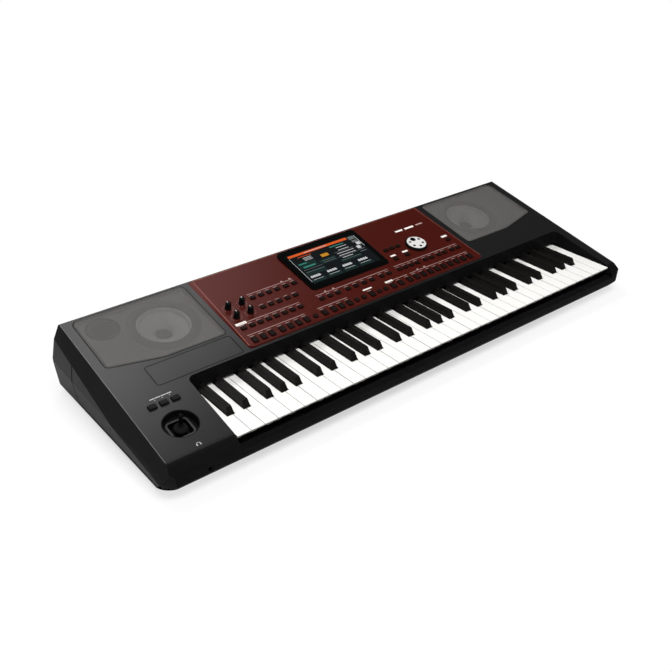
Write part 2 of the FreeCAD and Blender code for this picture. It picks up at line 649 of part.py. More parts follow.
def case_form(inset):
    """Solid form of the whole case, every face moved inwards by the inset."""
    crest = base_half + s.low_lean * (s.parting_z - s.base_z)
    widest = base_half + s.low_lean * (parting_height(s.back_base_y) - s.base_z)
    cuts = []
    for _, side in SIDES:
        planes = [((side * deck_half, s.deck_back_y, s.deck_back_z),
                   (side, -s.bevel_lean * s.deck_rise, s.bevel_lean)),
                  ((side * crest, 0, s.parting_z),
                   (side, -(s.low_lean + s.side_lean) * s.parting_rise, s.side_lean)),
                  ((side * base_half, 0, s.base_z), (side, 0, -s.low_lean))]
        cuts += [outside(point, normal, inset) for point, normal in planes]
        cuts.append(front_corner_cut(side, inset))
        rear = corner_outline(side, widest - inset, s.back_base_y - inset, -1, s.back_corner - inset)
        cuts.append(prism(rear, 0, 2 * s.deck_back_z))
    return across(side_view(inset), 2 * base_half).cut(cuts)


def above_parting(shape, lift=0.0):
    """The part of a solid above the parting plane."""
    return shape.cut(outside((0, 0, s.parting_z + lift), (0, s.parting_rise, -1), 0.0))


def below_parting(shape, lift=0.0):
    """The part of a solid below the parting plane."""
    return shape.cut(outside((0, 0, s.parting_z + lift), (0, -s.parting_rise, 1), 0.0))


OUTER = case_form(0.0)
INNER = case_form(s.wall)


def side_grooves():
    """Cut for the groove that runs down each side and forward above the underside."""
    half = s.groove_width / 2
    outline = rounded(
        [(s.front_y + s.front_corner, s.groove_low_z - half),
         (s.groove_y + half, s.groove_low_z - half), (s.groove_y + half, s.groove_top_z),
         (s.groove_y - half, s.groove_top_z), (s.groove_y - half, s.groove_low_z + half),
         (s.front_y + s.front_corner, s.groove_low_z + half)],
        [0, s.groove_bend, 0, 0, s.groove_bend - s.groove_width, 0])
    return across(outline, 2 * base_half).cut(case_form(s.wall / 2))


GROOVES = side_grooves()

# Screw posts that hold the case halves together
POSTS = [(side * (deck_half - s.post_margin), y) for side in (-1, 1)
         for y in (s.post_front_y, s.post_middle_y)]
POSTS += [(side * x, s.deck_back_y - s.post_back) for side in (-1, 1)
          for x in (deck_half - s.post_margin - s.post_side, grille_in)]


def post(x, y):
    """Screw post through the whole height of the case."""
    half = s.post_side / 2
    return block(x - half, x + half, y - half, y + half, 0, 2 * s.deck_back_z)


def grille_points(side, grow):
    """Corners of a speaker grille, moved outwards by grow."""
    points = [(grille_in - grow, s.grille_front - grow),
              (grille_out - s.grille_taper, s.grille_front - grow),
              (grille_out + grow, s.grille_front + s.grille_slant - grow),
              (grille_out + grow, s.grille_back + grow), (grille_in - grow, s.grille_back + grow)]
    points = [(side * x, y) for x, y in points]
    return points if side > 0 else points[::-1]


def grille_outline(side, grow):
    """Outline of a speaker grille with its rounded corners."""
    bend = 8 * s.grille_corner
    radii = [s.grille_corner + grow, bend, s.grille_corner + grow, 1.5 * s.grille_corner + grow,
             s.grille_corner + grow]
    return rounded(grille_points(side, grow), radii if side > 0 else radii[::-1])


def switch_middles():
    """Middles of the three switches on the left block."""
    return [(block_middle + step * s.switch_pitch, s.switch_y) for step in (-1, 0, 1)]


# Upper case: shell, end blocks, wall behind the keys, speaker trays with their bass ports
def well_corner(side):
    """Filling of the corner between the wall behind the keys and an end block."""
    wall_x = well_right if side > 0 else well_left
    middle = (wall_x - side * s.fallboard_round, s.fallboard_y - s.fallboard_round)
    x0, x1 = sorted((middle[0], wall_x))
    filling = block(x0, x1, middle[1], s.fallboard_y, s.fallboard_z, 2 * s.deck_back_z)
    return filling.cut(rod(s.fallboard_round, (*middle, 0), (*middle, 3 * s.deck_back_z)))


def deck_cut(outline, low):
    """Cut through the deck from above, down to a height in the deck frame."""
    return on_deck(prism(outline, low, s.deck_back_z))


def upper_case_shape():
    """Upper half of the case with every opening in its deck."""
    form = above_parting(OUTER)
    top = 2 * s.deck_back_z
    before = 2 * s.front_y
    shell = form.cut(INNER).cut(block(well_left, well_right, before, s.fallboard_y, 0, top))
    behind = s.fallboard_y + s.wall
    walls = [block(well_left - s.wall, well_left, before, behind, 0, top),
             block(well_right, well_right + s.wall, before, behind, 0, top),
             block(well_left - s.wall, well_right + s.wall, s.fallboard_y, behind, s.fallboard_z, top)]
    walls += [well_corner(side) for _, side in SIDES]
    walls += [post(x, y) for x, y in POSTS]
    additions = [piece.common(form) for piece in walls]
    baffle_low = -s.baffle_depth - s.wall
    for _, side in SIDES:
        tray = prism(rounded(grille_points(side, s.grille_rim), 0.0), baffle_low, -s.wall / 2)
        additions.append(on_deck(tray).common(OUTER))
        tube = prism(polygon(side * port_x, port_y, s.port_radius + s.port_wall, PORT_SIDES),
                     baffle_low - s.port_deep, baffle_low)
        additions.append(on_deck(tube))
    shell = join([shell] + additions)
    through = -2 * s.wall
    gap = s.let_in_gap
    cuts = [GROOVES]
    for _, side in SIDES:
        cuts.append(deck_cut(rounded(grille_points(side, -s.grille_rim), 0.0), -s.baffle_depth))
        cuts.append(deck_cut(grille_outline(side, s.seam), -s.grille_thick))
        cuts.append(deck_cut(polygon(side * woofer_x, woofer_y, s.woofer_hole, CONE_SIDES),
                             2 * baffle_low))
        cuts.append(deck_cut(polygon(side * port_x, port_y, s.port_radius, PORT_SIDES), -2 * s.port_deep))
    cuts.append(deck_cut(rectangle(-s.panel_half + s.panel_seat, s.panel_half - s.panel_seat,
                                   s.panel_front + s.panel_seat_front, s.panel_back - s.panel_seat),
                         through))
    cuts.append(deck_cut(rectangle(hatch_left - s.seam, hatch_right + s.seam, s.hatch_front - s.seam,
                                   s.hatch_back + s.seam, s.hatch_corner + s.seam), -s.hatch_thick))
    ledge = s.hatch_ledge
    cuts.append(deck_cut(rectangle(hatch_left + ledge, hatch_right - ledge, s.hatch_front + ledge,
                                   s.hatch_back - ledge), through))
    cuts.append(deck_cut(ring(block_middle, s.joy_y, s.joy_radius), through))
    for x, y in switch_middles():
        cuts.append(deck_cut(middle_rectangle(x, y, s.switch_width + 2 * gap, s.switch_depth + 2 * gap),
                             through))
    return shell.cut(cuts)


# Lower case: tray with front rail, posts and bosses, and the panel in its rear wall
def rear_jacks():
    """Sideways positions of the rear jacks."""
    return [s.jack_right_x - step * s.jack_pitch for step in range(3)]


def data_sockets():
    """Sideways positions of the round data sockets."""
    return [s.din_right_x, s.din_right_x - s.jack_pitch]


def corner_bosses(left, width, front, depth):
    """Middles of four bosses under the corners of a board."""
    inset = s.boss_side / 2 + 1
    return [(x, y) for x in (left + inset, left + width - inset)
            for y in (front + inset, front + depth - inset)]


def frame_bosses():
    """Middles of the bosses under the key frame."""
    first = well_left + s.frame_boss_inset
    step = (well_right - s.frame_boss_inset - first) / (FRAME_BOSSES - 1)
    return [(x, y) for x in spread(first, step, FRAME_BOSSES)
            for y in (s.frame_front_y + s.frame_boss_inset, s.frame_back_y - s.frame_boss_inset)]


def square_post(x, y, side, low, high):
    """Upright square solid about a point."""
    return block(x - side / 2, x + side / 2, y - side / 2, y + side / 2, low, high)


def rear_hole(x, half_width, half_height):
    """Rectangular hole through the rear wall about a socket."""
    return on_rear(block(x - half_width, x + half_width, -2 * s.wall, s.wall,
                         s.socket_up - half_height, s.socket_up + half_height))


def rear_panel_block(grow):
    """Part of the rear wall that the rear panel takes, with a gap around it."""
    return on_rear(block(s.power_x - s.rear_panel_margin - grow, s.jack_right_x + s.rear_panel_margin + grow,
                         -2 * s.wall, s.wall, s.rear_panel_sill - grow, s.deck_back_z))


def lower_case_shape():
    """Lower half of the case with everything that is moulded to it."""
    form = below_parting(OUTER)
    rail = block(well_left - s.wall, well_right + s.wall, s.front_y, s.front_y + s.rail_depth,
                 0, s.deck_back_z)
    additions = [above_parting(rail.common(form), -s.wall)]
    additions += [post(x, y).common(form) for x, y in POSTS]
    low = s.base_z + s.wall / 2
    additions += [square_post(x, y, s.frame_boss, low, s.frame_z) for x, y in frame_bosses()]
    boards = (corner_bosses(s.main_left, s.main_width, s.main_front, s.main_depth)
              + corner_bosses(s.amp_left, s.amp_width, s.main_front, s.amp_depth))
    additions += [square_post(x, y, s.boss_side, low, s.board_z) for x, y in boards]
    tray = join([form.cut(INNER)] + additions)
    cuts = [GROOVES, rear_panel_block(s.let_in_gap)]
    cuts.append(rod_y(s.phones_sleeve + s.let_in_gap, phones_x, s.phones_z, s.front_y - s.wall,
                      s.front_y + 2 * s.wall, PORT_SIDES))
    return tray.cut(cuts)


def rear_panel_shape():
    """Panel let into the rear wall, with the holes for the sockets."""
    gap = s.let_in_gap
    plate = below_parting(OUTER).cut(INNER).common(rear_panel_block(0.0))
    cuts = [rear_hole(x, s.jack_sleeve + gap, s.jack_sleeve + gap) for x in rear_jacks()]
    din_half = s.din_radius + s.din_wall + gap
    cuts += [rear_hole(x, din_half, din_half) for x in data_sockets()]
    cuts.append(rear_hole(s.usb_x, s.usb_width / 2 + gap, s.usb_height / 2 + gap))
    cuts.append(rear_hole(s.inlet_x, s.inlet_width / 2 + gap, s.inlet_height / 2 + gap))
    cuts.append(rear_hole(s.power_x, s.power_width / 2 + gap, s.power_height / 2 + gap))
    return plate.cut(cuts)


add_shape("upper_case", upper_case_shape())
add_shape("lower_case", lower_case_shape())
add_shape("rear_panel", rear_panel_shape())

feet = add_body("rubber_feet")
foot_x = base_half - s.foot_margin
foot_rings = [polygon(side * foot_x, y, s.foot_radius, PORT_SIDES) for side in (-1, 1)
              for y in (s.chin_y + s.foot_front, s.back_base_y - s.foot_back)]
add_pad(feet, foot_rings, "sizes.base_z")

# Hatch cover and speaker grilles
hatch = add_body("hatch_cover", DECK)
hatch_outline = rectangle(hatch_left, hatch_right, s.hatch_front, s.hatch_back, s.hatch_corner)
add_pad(hatch, [hatch_outline], "sizes.hatch_thick", -s.hatch_thick)

for side_name, side in SIDES:
    grille = add_body(side_name + "_speaker_grille", DECK)
    add_pad(grille, [grille_outline(side, 0.0)], "sizes.grille_thick + sizes.let_in_gap", -s.grille_thick)

# Woofers: basket with magnet, cone with surround
flange_low = -s.baffle_depth - s.wall
flange_thick = s.wall
magnet_top = flange_low - s.woofer_deep + s.magnet_height
basket_in = s.woofer_hole - s.basket_wall
BASKET = [(basket_in, flange_low), (s.woofer_radius, flange_low),
          (s.woofer_radius, flange_low - flange_thick),
          (s.woofer_hole + s.basket_step, flange_low - flange_thick),
          (s.magnet_radius, magnet_top), (s.magnet_radius, flange_low - s.woofer_deep),
          (0, flange_low - s.woofer_deep), (0, magnet_top + s.basket_wall),
          (s.magnet_radius - s.basket_wall, magnet_top + s.basket_wall),
          (basket_in, flange_low - flange_thick)]
rim = basket_in - s.cone_play
roll = s.surround_width
cone_low = flange_low - s.cone_deep
cap_z = cone_low + s.cap_rise
paper_top = flange_low - s.cone_sink
CONE = [(0, cap_z), (s.cap_radius, cone_low), (rim - roll, paper_top),
        (rim - roll / 2, flange_low + s.roll_rise), (rim, flange_low - s.rim_sink),
        (rim, flange_low - s.rim_sink - s.rim_thick),
        (rim - roll / 2, flange_low + s.roll_rise - s.rim_thick), (rim - roll, paper_top - s.cone_thick),
        (s.cap_radius - s.coil_inset, cone_low - s.coil_deep),
        (s.cap_radius - s.coil_inset, cone_low - 2 * s.coil_deep), (0, cone_low - 2 * s.coil_deep)]
baskets = []
cones = []
for _, side in SIDES:
    for points, found in ((BASKET, baskets), (CONE, cones)):
        cone = many_sided(points, CONE_SIDES)
        cone.Placement = deck_place(side * woofer_x, woofer_y)
        found.append(cone)
add_shape("woofers", Part.makeCompound(baskets))
add_shape("woofer_cones", Part.makeCompound(cones))


# Layout of the controls: drawn for these widths and spread evenly when the panel or screen differs
DRAWN_PANEL = 263.0
DRAWN_BEZEL = 88.0


def below_screen(places):
    """Sideways positions in the rows in front of the screen."""
    return [x * s.panel_half / DRAWN_PANEL for x in places]


def beside_screen(places):
    """Sideways positions in the rows beside the screen."""
    ratio = (s.panel_half - s.bezel_half) / (DRAWN_PANEL - DRAWN_BEZEL)
    return [math.copysign(s.bezel_half + (abs(x) - DRAWN_BEZEL) * ratio, x) for x in places]


# Control panel buttons: sideways position, position up the slope, cap depth
LOW, TALL, DOT = s.cap_depth, s.tall_depth, 0.0
HIGH_SMALL, TOP_SMALL = s.row_high_y - s.small_shift, s.row_top_y - s.small_shift / 2
GROUPS = {
    "upper_left_buttons":
        [(x, s.row_top_y, LOW) for x in
         beside_screen(spread(-189.5, 16.6, 4) + spread(-121.3, 17.0, 2))]
        + [(x, s.row_high_y, LOW) for x in beside_screen(spread(-188.0, 16.6, 5))],
    "middle_left_buttons": [(x, s.row_middle_y, LOW) for x in below_screen(spread(-245.6, 16.13, 8))],
    "middle_centre_buttons":
        [(x, s.row_middle_y, LOW) for x in
         below_screen(spread(-87.3, 17.4, 3) + spread(-30.0, 18.1, 4) + spread(47.4, 17.0, 2))],
    "middle_right_buttons":
        [(x, s.row_middle_y, LOW) for x in
         below_screen(spread(90.3, 14.3, 4) + spread(154.3, 15.0, 2)
                      + spread(188.2, 15.0, 2) + spread(223.2, 15.0, 2))],
    "lower_left_buttons":
        [(x, s.row_low_y, TALL) for x in
         below_screen(spread(-245.6, 16.5, 3) + spread(-192.6, 16.5, 4))],
    "lower_centre_buttons":
        [(x, s.row_low_y, TALL) for x in
         below_screen([-105.8] + spread(-86.4, 16.8, 3) + [-1.4, 47.5, 65.4, 86.4])],
    "lower_right_buttons": [(x, s.row_low_y, TALL) for x in below_screen(spread(103.3, 16.86, 9))],
    "small_buttons":
        [(x, s.row_low_y, DOT) for x in below_screen([-125.2, -36.2, -20.3, 14.5, 29.5])]
        + [(x, TOP_SMALL, LOW) for x in beside_screen(spread(106.3, 14.5, 3))]
        + [(x, HIGH_SMALL, LOW) for x in beside_screen([106.0, 133.8, 239.2])],
}


def button_outline(button, grow):
    """Outline of a button, moved outwards by grow."""
    x, y, depth = button
    if depth == DOT:
        return polygon(x, y, s.dot_radius + grow, SMALL_SIDES)
    return middle_rectangle(x, y, s.cap_width + 2 * grow, depth + 2 * grow)


def button_edges(button):
    """Outline of a button with its retaining edges in front and behind."""
    x, y, depth = button
    if depth == DOT:
        return middle_rectangle(x, y, s.dot_radius, 2 * (s.dot_radius + s.flange_edge))
    return middle_rectangle(x, y, s.cap_width, depth + 2 * s.flange_edge)


ALL_BUTTONS = [button for group in GROUPS.values() for button in group]
KNOBS = [(x, s.knob_top_y - line * s.knob_pitch_y) for line in (0, 1)
         for x in beside_screen(spread(s.knob_left, s.knob_pitch_x, 2))]
DIAL = (beside_screen([s.dial_x])[0], s.dial_y)
shaft_hole = s.shaft_radius + s.let_in_gap

# Control panel: bevelled plate on the deck with holes for everything on it
panel = add_body("control_panel", DECK)
inner_front = s.panel_half - s.panel_bevel_front
inner_back = s.panel_half - s.panel_bevel_back
inner_edge = s.panel_back - s.panel_bevel_rear
panel_base = rounded([(-s.panel_half, s.panel_front), (s.panel_half, s.panel_front),
                      (s.panel_half, s.panel_back), (-s.panel_half, s.panel_back)],
                     [s.panel_corner, s.panel_corner, s.panel_back_corner, s.panel_back_corner])
panel_top = rounded([(-inner_front, s.panel_front + s.panel_bevel_front),
                     (inner_front, s.panel_front + s.panel_bevel_front),
                     (inner_back, inner_edge), (-inner_back, inner_edge)],
                    [s.panel_corner - 1, s.panel_corner - 1, s.panel_back_corner, s.panel_back_corner])
add_loft(panel, [(panel_base, 0.0), (panel_top, s.panel_thick)])
lcd_half = s.bezel_half - s.lcd_border
lcd_window = rectangle(-lcd_half - 1, lcd_half + 1, s.bezel_front + s.lcd_border - 1,
                       s.bezel_back - s.lcd_border + 1)
panel_holes = [button_outline(button, s.move_gap) for button in ALL_BUTTONS]
panel_holes += [polygon(x, y, shaft_hole, ROD_SIDES) for x, y in KNOBS + [DIAL]]
add_pocket(panel, panel_holes + [lcd_window], None, s.panel_thick + 1)
board_half = s.panel_half - s.panel_board_margin
outer_standoff = board_half - s.standoff_side / 2
STANDOFFS = [(x, (row + next_row) / 2) for x in [-outer_standoff, outer_standoff] + below_screen([-100, 95])
             for row, next_row in ((s.row_low_y, s.row_middle_y), (s.row_middle_y, s.row_high_y))]
STANDOFFS += [(x, s.panel_board_back - s.standoff_side) for x in beside_screen([-230, -120, 120, 230])]
add_pad(panel, [middle_rectangle(x, y, s.standoff_side, s.standoff_side) for x, y in STANDOFFS],
        "sizes.panel_board_depth", 0.0, True)

# Buttons: cap, and below the panel a skirt with retaining edges that reaches down to its switch
cap_low = -s.move_gap
for group_name, buttons in GROUPS.items():
    group = add_body(group_name, DECK)
    add_pad(group, [button_outline(button, 0.0) for button in buttons],
            "sizes.panel_thick + sizes.cap_proud + sizes.move_gap", cap_low)
    add_pad(group, [button_edges(button) for button in buttons],
            "sizes.panel_board_depth - sizes.touch_height - sizes.button_travel - 2 * sizes.move_gap",
            cap_low, True)

# Knobs and dial: a stub in the panel's hole and a tapered grip with flat sides
stub_low = -s.pot_gap + s.move_gap
knob_low = s.panel_thick + s.knob_clear


def knob_form(radius, height, bevel, sides):
    """A turning knob with a bevelled top, about its own axis."""
    top = knob_low + height
    grip = radius - s.knob_draft
    return many_sided([(0, stub_low), (s.shaft_radius, stub_low), (s.shaft_radius, knob_low),
                       (radius, knob_low), (grip, top - bevel), (grip - bevel, top), (0, top)], sides)


for number, place in enumerate(KNOBS, start=1):
    knob = knob_form(s.knob_radius, s.knob_height, s.knob_bevel, KNOB_SIDES)
    knob.Placement = deck_place(*place)
    add_shape(f"knob_{number}", knob)
dial_top = knob_low + s.dial_height
dial = knob_form(s.dial_radius, s.dial_height, s.dial_bevel, DIAL_SIDES)
dial = dial.cut(prism(polygon(0, s.dimple_offset, s.dimple_radius, PORT_SIDES),
                      dial_top - s.dimple_deep, dial_top + s.dimple_deep))
dial.Placement = deck_place(*DIAL)
add_shape("value_dial", dial)

# Panel board with its switch strips and the parts under the knobs
def touch_strips(buttons):
    """Outlines of the switch strips under a group: one for each run of buttons along a row."""
    half = s.touch_side / 2
    strips = []
    for y in sorted({y for _, y, _ in buttons}):
        places = sorted(x for x, row, _ in buttons if row == y)
        first = places[0]
        for x, following in zip(places, places[1:] + [math.inf]):
            if following - x > s.touch_run:
                strips.append(rectangle(first - half, x + half, y - half, y + half))
                first = following
    return strips


board_top = -s.panel_board_depth
board_low = board_top - s.board_thick
screen_side = s.bezel_front - s.screen_gap
board_parts = [prism(rectangle(-board_half, board_half, s.panel_front + s.panel_seat_front + 1, screen_side),
                     board_low, board_top)]
board_parts += [prism(rectangle(x0, x1, screen_side, s.panel_board_back), board_low, board_top)
                for x0, x1 in ((-board_half, -s.bezel_half - s.screen_gap),
                               (s.bezel_half + s.screen_gap, board_half))]
touch_top = board_top + s.touch_height
board_parts += [prism(strip, board_top, touch_top) for buttons in GROUPS.values()
                for strip in touch_strips(buttons)]
board_parts += [prism(middle_rectangle(x, y, s.dial_pot_side, s.dial_pot_side), board_top, -s.pot_gap)
                for x, y in KNOBS + [DIAL]]
add_shape("panel_board", on_deck(join(board_parts)))

# Screen: wedge bezel, touch glass, display module
bezel = add_body("screen_bezel", DECK)
bezel_outline = rectangle(-s.bezel_half, s.bezel_half, s.bezel_front, s.bezel_back, s.bezel_corner)
add_pad(bezel, [bezel_outline], "sizes.bezel_high", s.panel_thick)
front_top = s.panel_thick + s.bezel_low
back_top = s.panel_thick + s.bezel_high
wedge = rounded([(s.bezel_front, front_top), (s.bezel_back, back_top),
                 (s.bezel_back + CUT_PAST, back_top + CUT_PAST),
                 (s.bezel_front - CUT_PAST, back_top + CUT_PAST), (s.bezel_front - CUT_PAST, front_top)], 0.0)
add_pocket(bezel, [wedge], None, 0.0, "YZ_Plane", True)
bezel_run = s.bezel_back - s.bezel_front
bezel_tilt = math.degrees(math.atan((s.bezel_high - s.bezel_low) / bezel_run))
glass_place = FreeCAD.Placement(V(0, s.bezel_front, front_top), FreeCAD.Rotation(V(1, 0, 0), bezel_tilt))
glass = add_body("touch_screen", DECK.multiply(glass_place))
glass_outline = rectangle(-s.bezel_half + s.glass_margin, s.bezel_half - s.glass_margin,
                          s.glass_margin, bezel_run - s.glass_margin, s.bezel_corner / 2)
add_pad(glass, [glass_outline], "sizes.glass_thick")
lcd = add_body("lcd_module", DECK)
lcd_outline = rectangle(-lcd_half, lcd_half, s.bezel_front + s.lcd_border, s.bezel_back - s.lcd_border)
add_pad(lcd, [lcd_outline], "sizes.lcd_deep", s.panel_thick - s.lcd_deep)

# Joystick: funnel well, frame, tilting yoke and stick
well_out = s.joy_radius - s.joy_gap
well_edge = well_out + s.joy_flange
floor_low = -s.joy_depth - s.joy_wall
well = many_sided([(well_out - s.joy_rim, -s.joy_sunk), (well_out, -s.joy_sunk), (well_out, -s.wall),
                   (well_edge, -s.wall), (well_edge, -s.wall - s.joy_wall), (well_out - 1, floor_low),
                   (0, floor_low), (0, -s.joy_depth), (well_out - s.joy_slant, -s.joy_depth)], WELL_SIDES)
well = well.cut(prism(rectangle(-s.joy_hole, s.joy_hole, -s.joy_hole, s.joy_hole, s.joy_hole_corner),
                      2 * floor_low, 0))
well.Placement = deck_place(block_middle, s.joy_y)
add_shape("joystick_well", well)

frame_half = s.yoke_half + s.joy_frame_room
frame_low = -s.joy_pivot - s.joy_frame_below
frame_in = frame_half - s.joy_wall
pin_hole = (s.pin_radius + s.pin_play) / math.cos(math.pi / ROD_SIDES)
joy_frame = add_body("joystick_frame", deck_place(block_middle, s.joy_y))
add_pad(joy_frame, [rectangle(-frame_half, frame_half, -frame_half, frame_half)],
        "sizes.joy_pivot + sizes.joy_frame_below - sizes.joy_depth - sizes.joy_wall", frame_low)
add_pocket(joy_frame, [rectangle(-frame_in, frame_in, -frame_in, frame_in)],
           "sizes.joy_pivot + sizes.joy_frame_below - sizes.joy_depth - 2 * sizes.joy_wall", floor_low)
add_pocket(joy_frame, [polygon(0, -s.joy_pivot, pin_hole, ROD_SIDES)], None, 0.0, "YZ_Plane", True)

yoke_in = s.yoke_half - s.yoke_bar
yoke = prism(rectangle(-s.yoke_half, s.yoke_half, -s.yoke_half, s.yoke_half),
             -s.joy_pivot - s.yoke_thick / 2, -s.joy_pivot + s.yoke_thick / 2)
yoke = yoke.cut(prism(rectangle(-yoke_in, yoke_in, -yoke_in, yoke_in), -CUT_FAR, CUT_FAR))
pins = rod_x(s.pin_radius, 0, -s.joy_pivot, -frame_half, frame_half, ROD_SIDES)
pins = pins.cut(block(-yoke_in, yoke_in, -yoke_in, yoke_in, -CUT_FAR, CUT_FAR))
yoke = yoke.fuse(pins).removeSplitter()
yoke = yoke.cut(rod_y(pin_hole, 0, -s.joy_pivot, -s.yoke_half - 1, s.yoke_half + 1, ROD_SIDES))
yoke.Placement = deck_place(block_middle, s.joy_y)
add_shape("joystick_yoke", yoke)

hub = yoke_in - s.hub_gap
skirt_low = -s.joy_pivot + s.yoke_thick / 2 + s.skirt_gap
skirt_top = skirt_low + s.skirt_height
radius = s.joy_stick_radius
stick = many_sided([(0, skirt_low), (hub, skirt_low), (radius + 0.5, skirt_top), (radius, skirt_top),
              (radius, s.joy_tip - 0.75 * radius), (0.75 * radius, s.joy_tip - 0.25 * radius),
              (0.3 * radius, s.joy_tip), (0, s.joy_tip)], STICK_SIDES)
knuckle = block(-hub, hub, -hub, hub, -s.joy_pivot - s.knuckle_below, skirt_low)
stick_pins = rod_y(s.pin_radius, 0, -s.joy_pivot, -s.yoke_half, s.yoke_half, ROD_SIDES)
stick = join([stick, knuckle, stick_pins])
stick.Placement = deck_place(block_middle, s.joy_y)
add_shape("joystick_stick", stick)

# Three switches above the joystick
for number, (x, y) in enumerate(switch_middles(), start=1):
    switch = add_body(f"assign_switch_{number}", deck_place(x, y))
    switch_low = -s.wall - s.move_gap - s.flange_thick
    add_pad(switch, [middle_rectangle(0, 0, s.switch_width, s.switch_depth)],
            "sizes.switch_proud + sizes.wall + sizes.move_gap + sizes.flange_thick", switch_low)
    add_pad(switch, [middle_rectangle(0, 0, s.switch_width + 2 * s.flange_edge,
                                      s.switch_depth + 2 * s.flange_edge)],
            "sizes.flange_thick", switch_low)

# Keys: plan positions within one octave, measured from its left end
NATURALS = ("c", "d", "e", "f", "g", "a", "b")
SHARPS = {"c_sharp": s.key_pitch - s.pair_shift, "d_sharp": 2 * s.key_pitch + s.pair_shift,
          "f_sharp": 4 * s.key_pitch - s.trio_shift, "g_sharp": 5 * s.key_pitch,
          "a_sharp": 6 * s.key_pitch + s.trio_shift}


def tail(index):
    """Left and right side of a white key between its black neighbours."""
    low = index * s.key_pitch
    high = low + s.key_pitch
    left = low + s.key_gap / 2
    right = high - s.key_gap / 2
    reach = s.black_width / 2 + s.black_gap
    for middle in SHARPS.values():
        if abs(middle - low) < s.key_pitch / 2:
            left = middle + reach
        if abs(middle - high) < s.key_pitch / 2:
            right = middle - reach
    return left, right


def key_lever(middle, front_y, high):
    """Lever under a key with the notch that hooks it on the hinge rod from above."""
    half = s.stem_width / 2
    lever = block(middle - half, middle + half, front_y, s.key_back_y, s.stem_low_z, high)
    reach = s.hinge_radius + s.hinge_play
    return lever.cut(block(middle - 2 * half, middle + 2 * half, s.hinge_y - reach, s.hinge_y + reach,
                           s.stem_low_z - 1, s.hinge_z + reach))


def white_key(index, full):
    """White key: thin top with its cut-outs, broken front edge, lever below."""
    left = index * s.key_pitch + s.key_gap / 2
    right = (index + 1) * s.key_pitch - s.key_gap / 2
    tail_left, tail_right = (left, right) if full else tail(index)
    notch_y = s.black_front_y - s.black_gap
    corners = [(left, s.key_front_y), (right, s.key_front_y), (right, notch_y), (tail_right, notch_y),
               (tail_right, s.key_plate_back_y), (tail_left, s.key_plate_back_y), (tail_left, notch_y),
               (left, notch_y)]
    if tail_right == right:
        corners = [corner for corner in corners if corner != (right, notch_y)]
    if tail_left == left:
        corners = [corner for corner in corners if corner != (left, notch_y)]
    plate = prism(rounded(corners, 0.0), s.key_top_z - s.key_plate, s.key_top_z)
    front = [edge for edge in plate.Edges
             if edge.BoundBox.YMax < s.key_front_y + 0.01 and edge.BoundBox.ZMin > s.key_top_z - 0.01]
    plate = plate.makeChamfer(s.key_edge_break, front)
    lever = key_lever((tail_left + tail_right) / 2, s.stem_front_y, s.key_top_z - s.key_plate)
    return plate.fuse(lever).removeSplitter()


def black_key(middle):
    """Black key: tapered cap on a skirt, lever below."""
    foot = s.black_width / 2
    top = s.black_top_width / 2
    cap = Part.makeWedge(middle - foot, s.key_top_z, -s.black_back_y, -s.black_back_y, middle - top,
                         middle + foot, s.key_top_z + s.black_height, -s.black_front_y,
                         -s.black_front_y - s.black_slope, middle + top)
    cap.rotate(V(0, 0, 0), V(1, 0, 0), 90)
    skirt_low = s.key_top_z - s.black_skirt
    skirt = block(middle - foot, middle + foot, s.black_front_y, s.black_back_y, skirt_low, s.key_top_z)
    lever = key_lever(middle, s.black_front_y + s.black_stem_inset, skirt_low)
    return join([cap, skirt, lever])


def octaves(shape, count):
    """The same key in every octave."""
    copies = []
    for number in range(count):
        copy = shape.copy()
        copy.translate(V(key_left + number * octave, 0, 0))
        copies.append(copy)
    return copies


for index, letter in enumerate(NATURALS):
    solids = octaves(white_key(index, False), OCTAVES)
    if letter == "c":
        last = white_key(0, True)
        last.translate(V(key_left + OCTAVES * octave, 0, 0))
        solids.append(last)
    add_shape(letter + "_keys", Part.makeCompound(solids))
for name, middle in SHARPS.items():
    add_shape(name + "_keys", Part.makeCompound(octaves(black_key(middle), OCTAVES)))

# Key frame: base sheet, uprights between the octaves, hinge rod and stop rail
key_right = key_left + key_span
frame_top = s.frame_z + s.frame_plate
stop_y = s.frame_front_y + s.felt_depth
drop = math.sin(math.radians(s.key_travel)) * (s.hinge_y - s.frame_front_y)
felt_top = s.stem_low_z - drop - s.move_gap
gap_middle = (tail(0)[0] + tail(0)[1]) / 2 - s.stem_width / 2
gap_middle += (tail(NOTES - 1)[0] + tail(NOTES - 1)[1]) / 2 + s.stem_width / 2 - octave
uprights = [key_left + number * octave + gap_middle / 2 for number in range(OCTAVES + 1)]
uprights.append(key_right - s.frame_plate)
frame_parts = [block(well_left, well_right, s.frame_front_y, s.frame_back_y, s.frame_z, frame_top)]
for x in uprights:
    frame_parts.append(block(x - s.frame_plate / 2, x + s.frame_plate / 2, s.hinge_y - s.lug_half,
                             s.hinge_y + s.lug_half, frame_top, s.hinge_z + s.lug_above))
frame_parts.append(rod_x(s.hinge_radius, s.hinge_y, s.hinge_z, uprights[0] - 1, uprights[-1] + 1, ROD_SIDES))
frame_parts.append(block(well_left, well_right, s.frame_front_y, stop_y, frame_top, felt_top - s.felt_height))
contact_low = frame_top + s.contact_stand
contact_middle = (s.contact_front_y + s.contact_back_y) / 2
frame_parts += [square_post(x, contact_middle, s.boss_side, frame_top, contact_low)
                for x in spread(well_left + s.boss_side,
                                (key_span - 2 * s.boss_side) / (CONTACT_POSTS - 1), CONTACT_POSTS)]
add_shape("key_frame", join(frame_parts))
add_shape("key_stop_felts", block(well_left + s.felt_inset, well_right - s.felt_inset,
                                  s.frame_front_y, stop_y, felt_top - s.felt_height, felt_top))

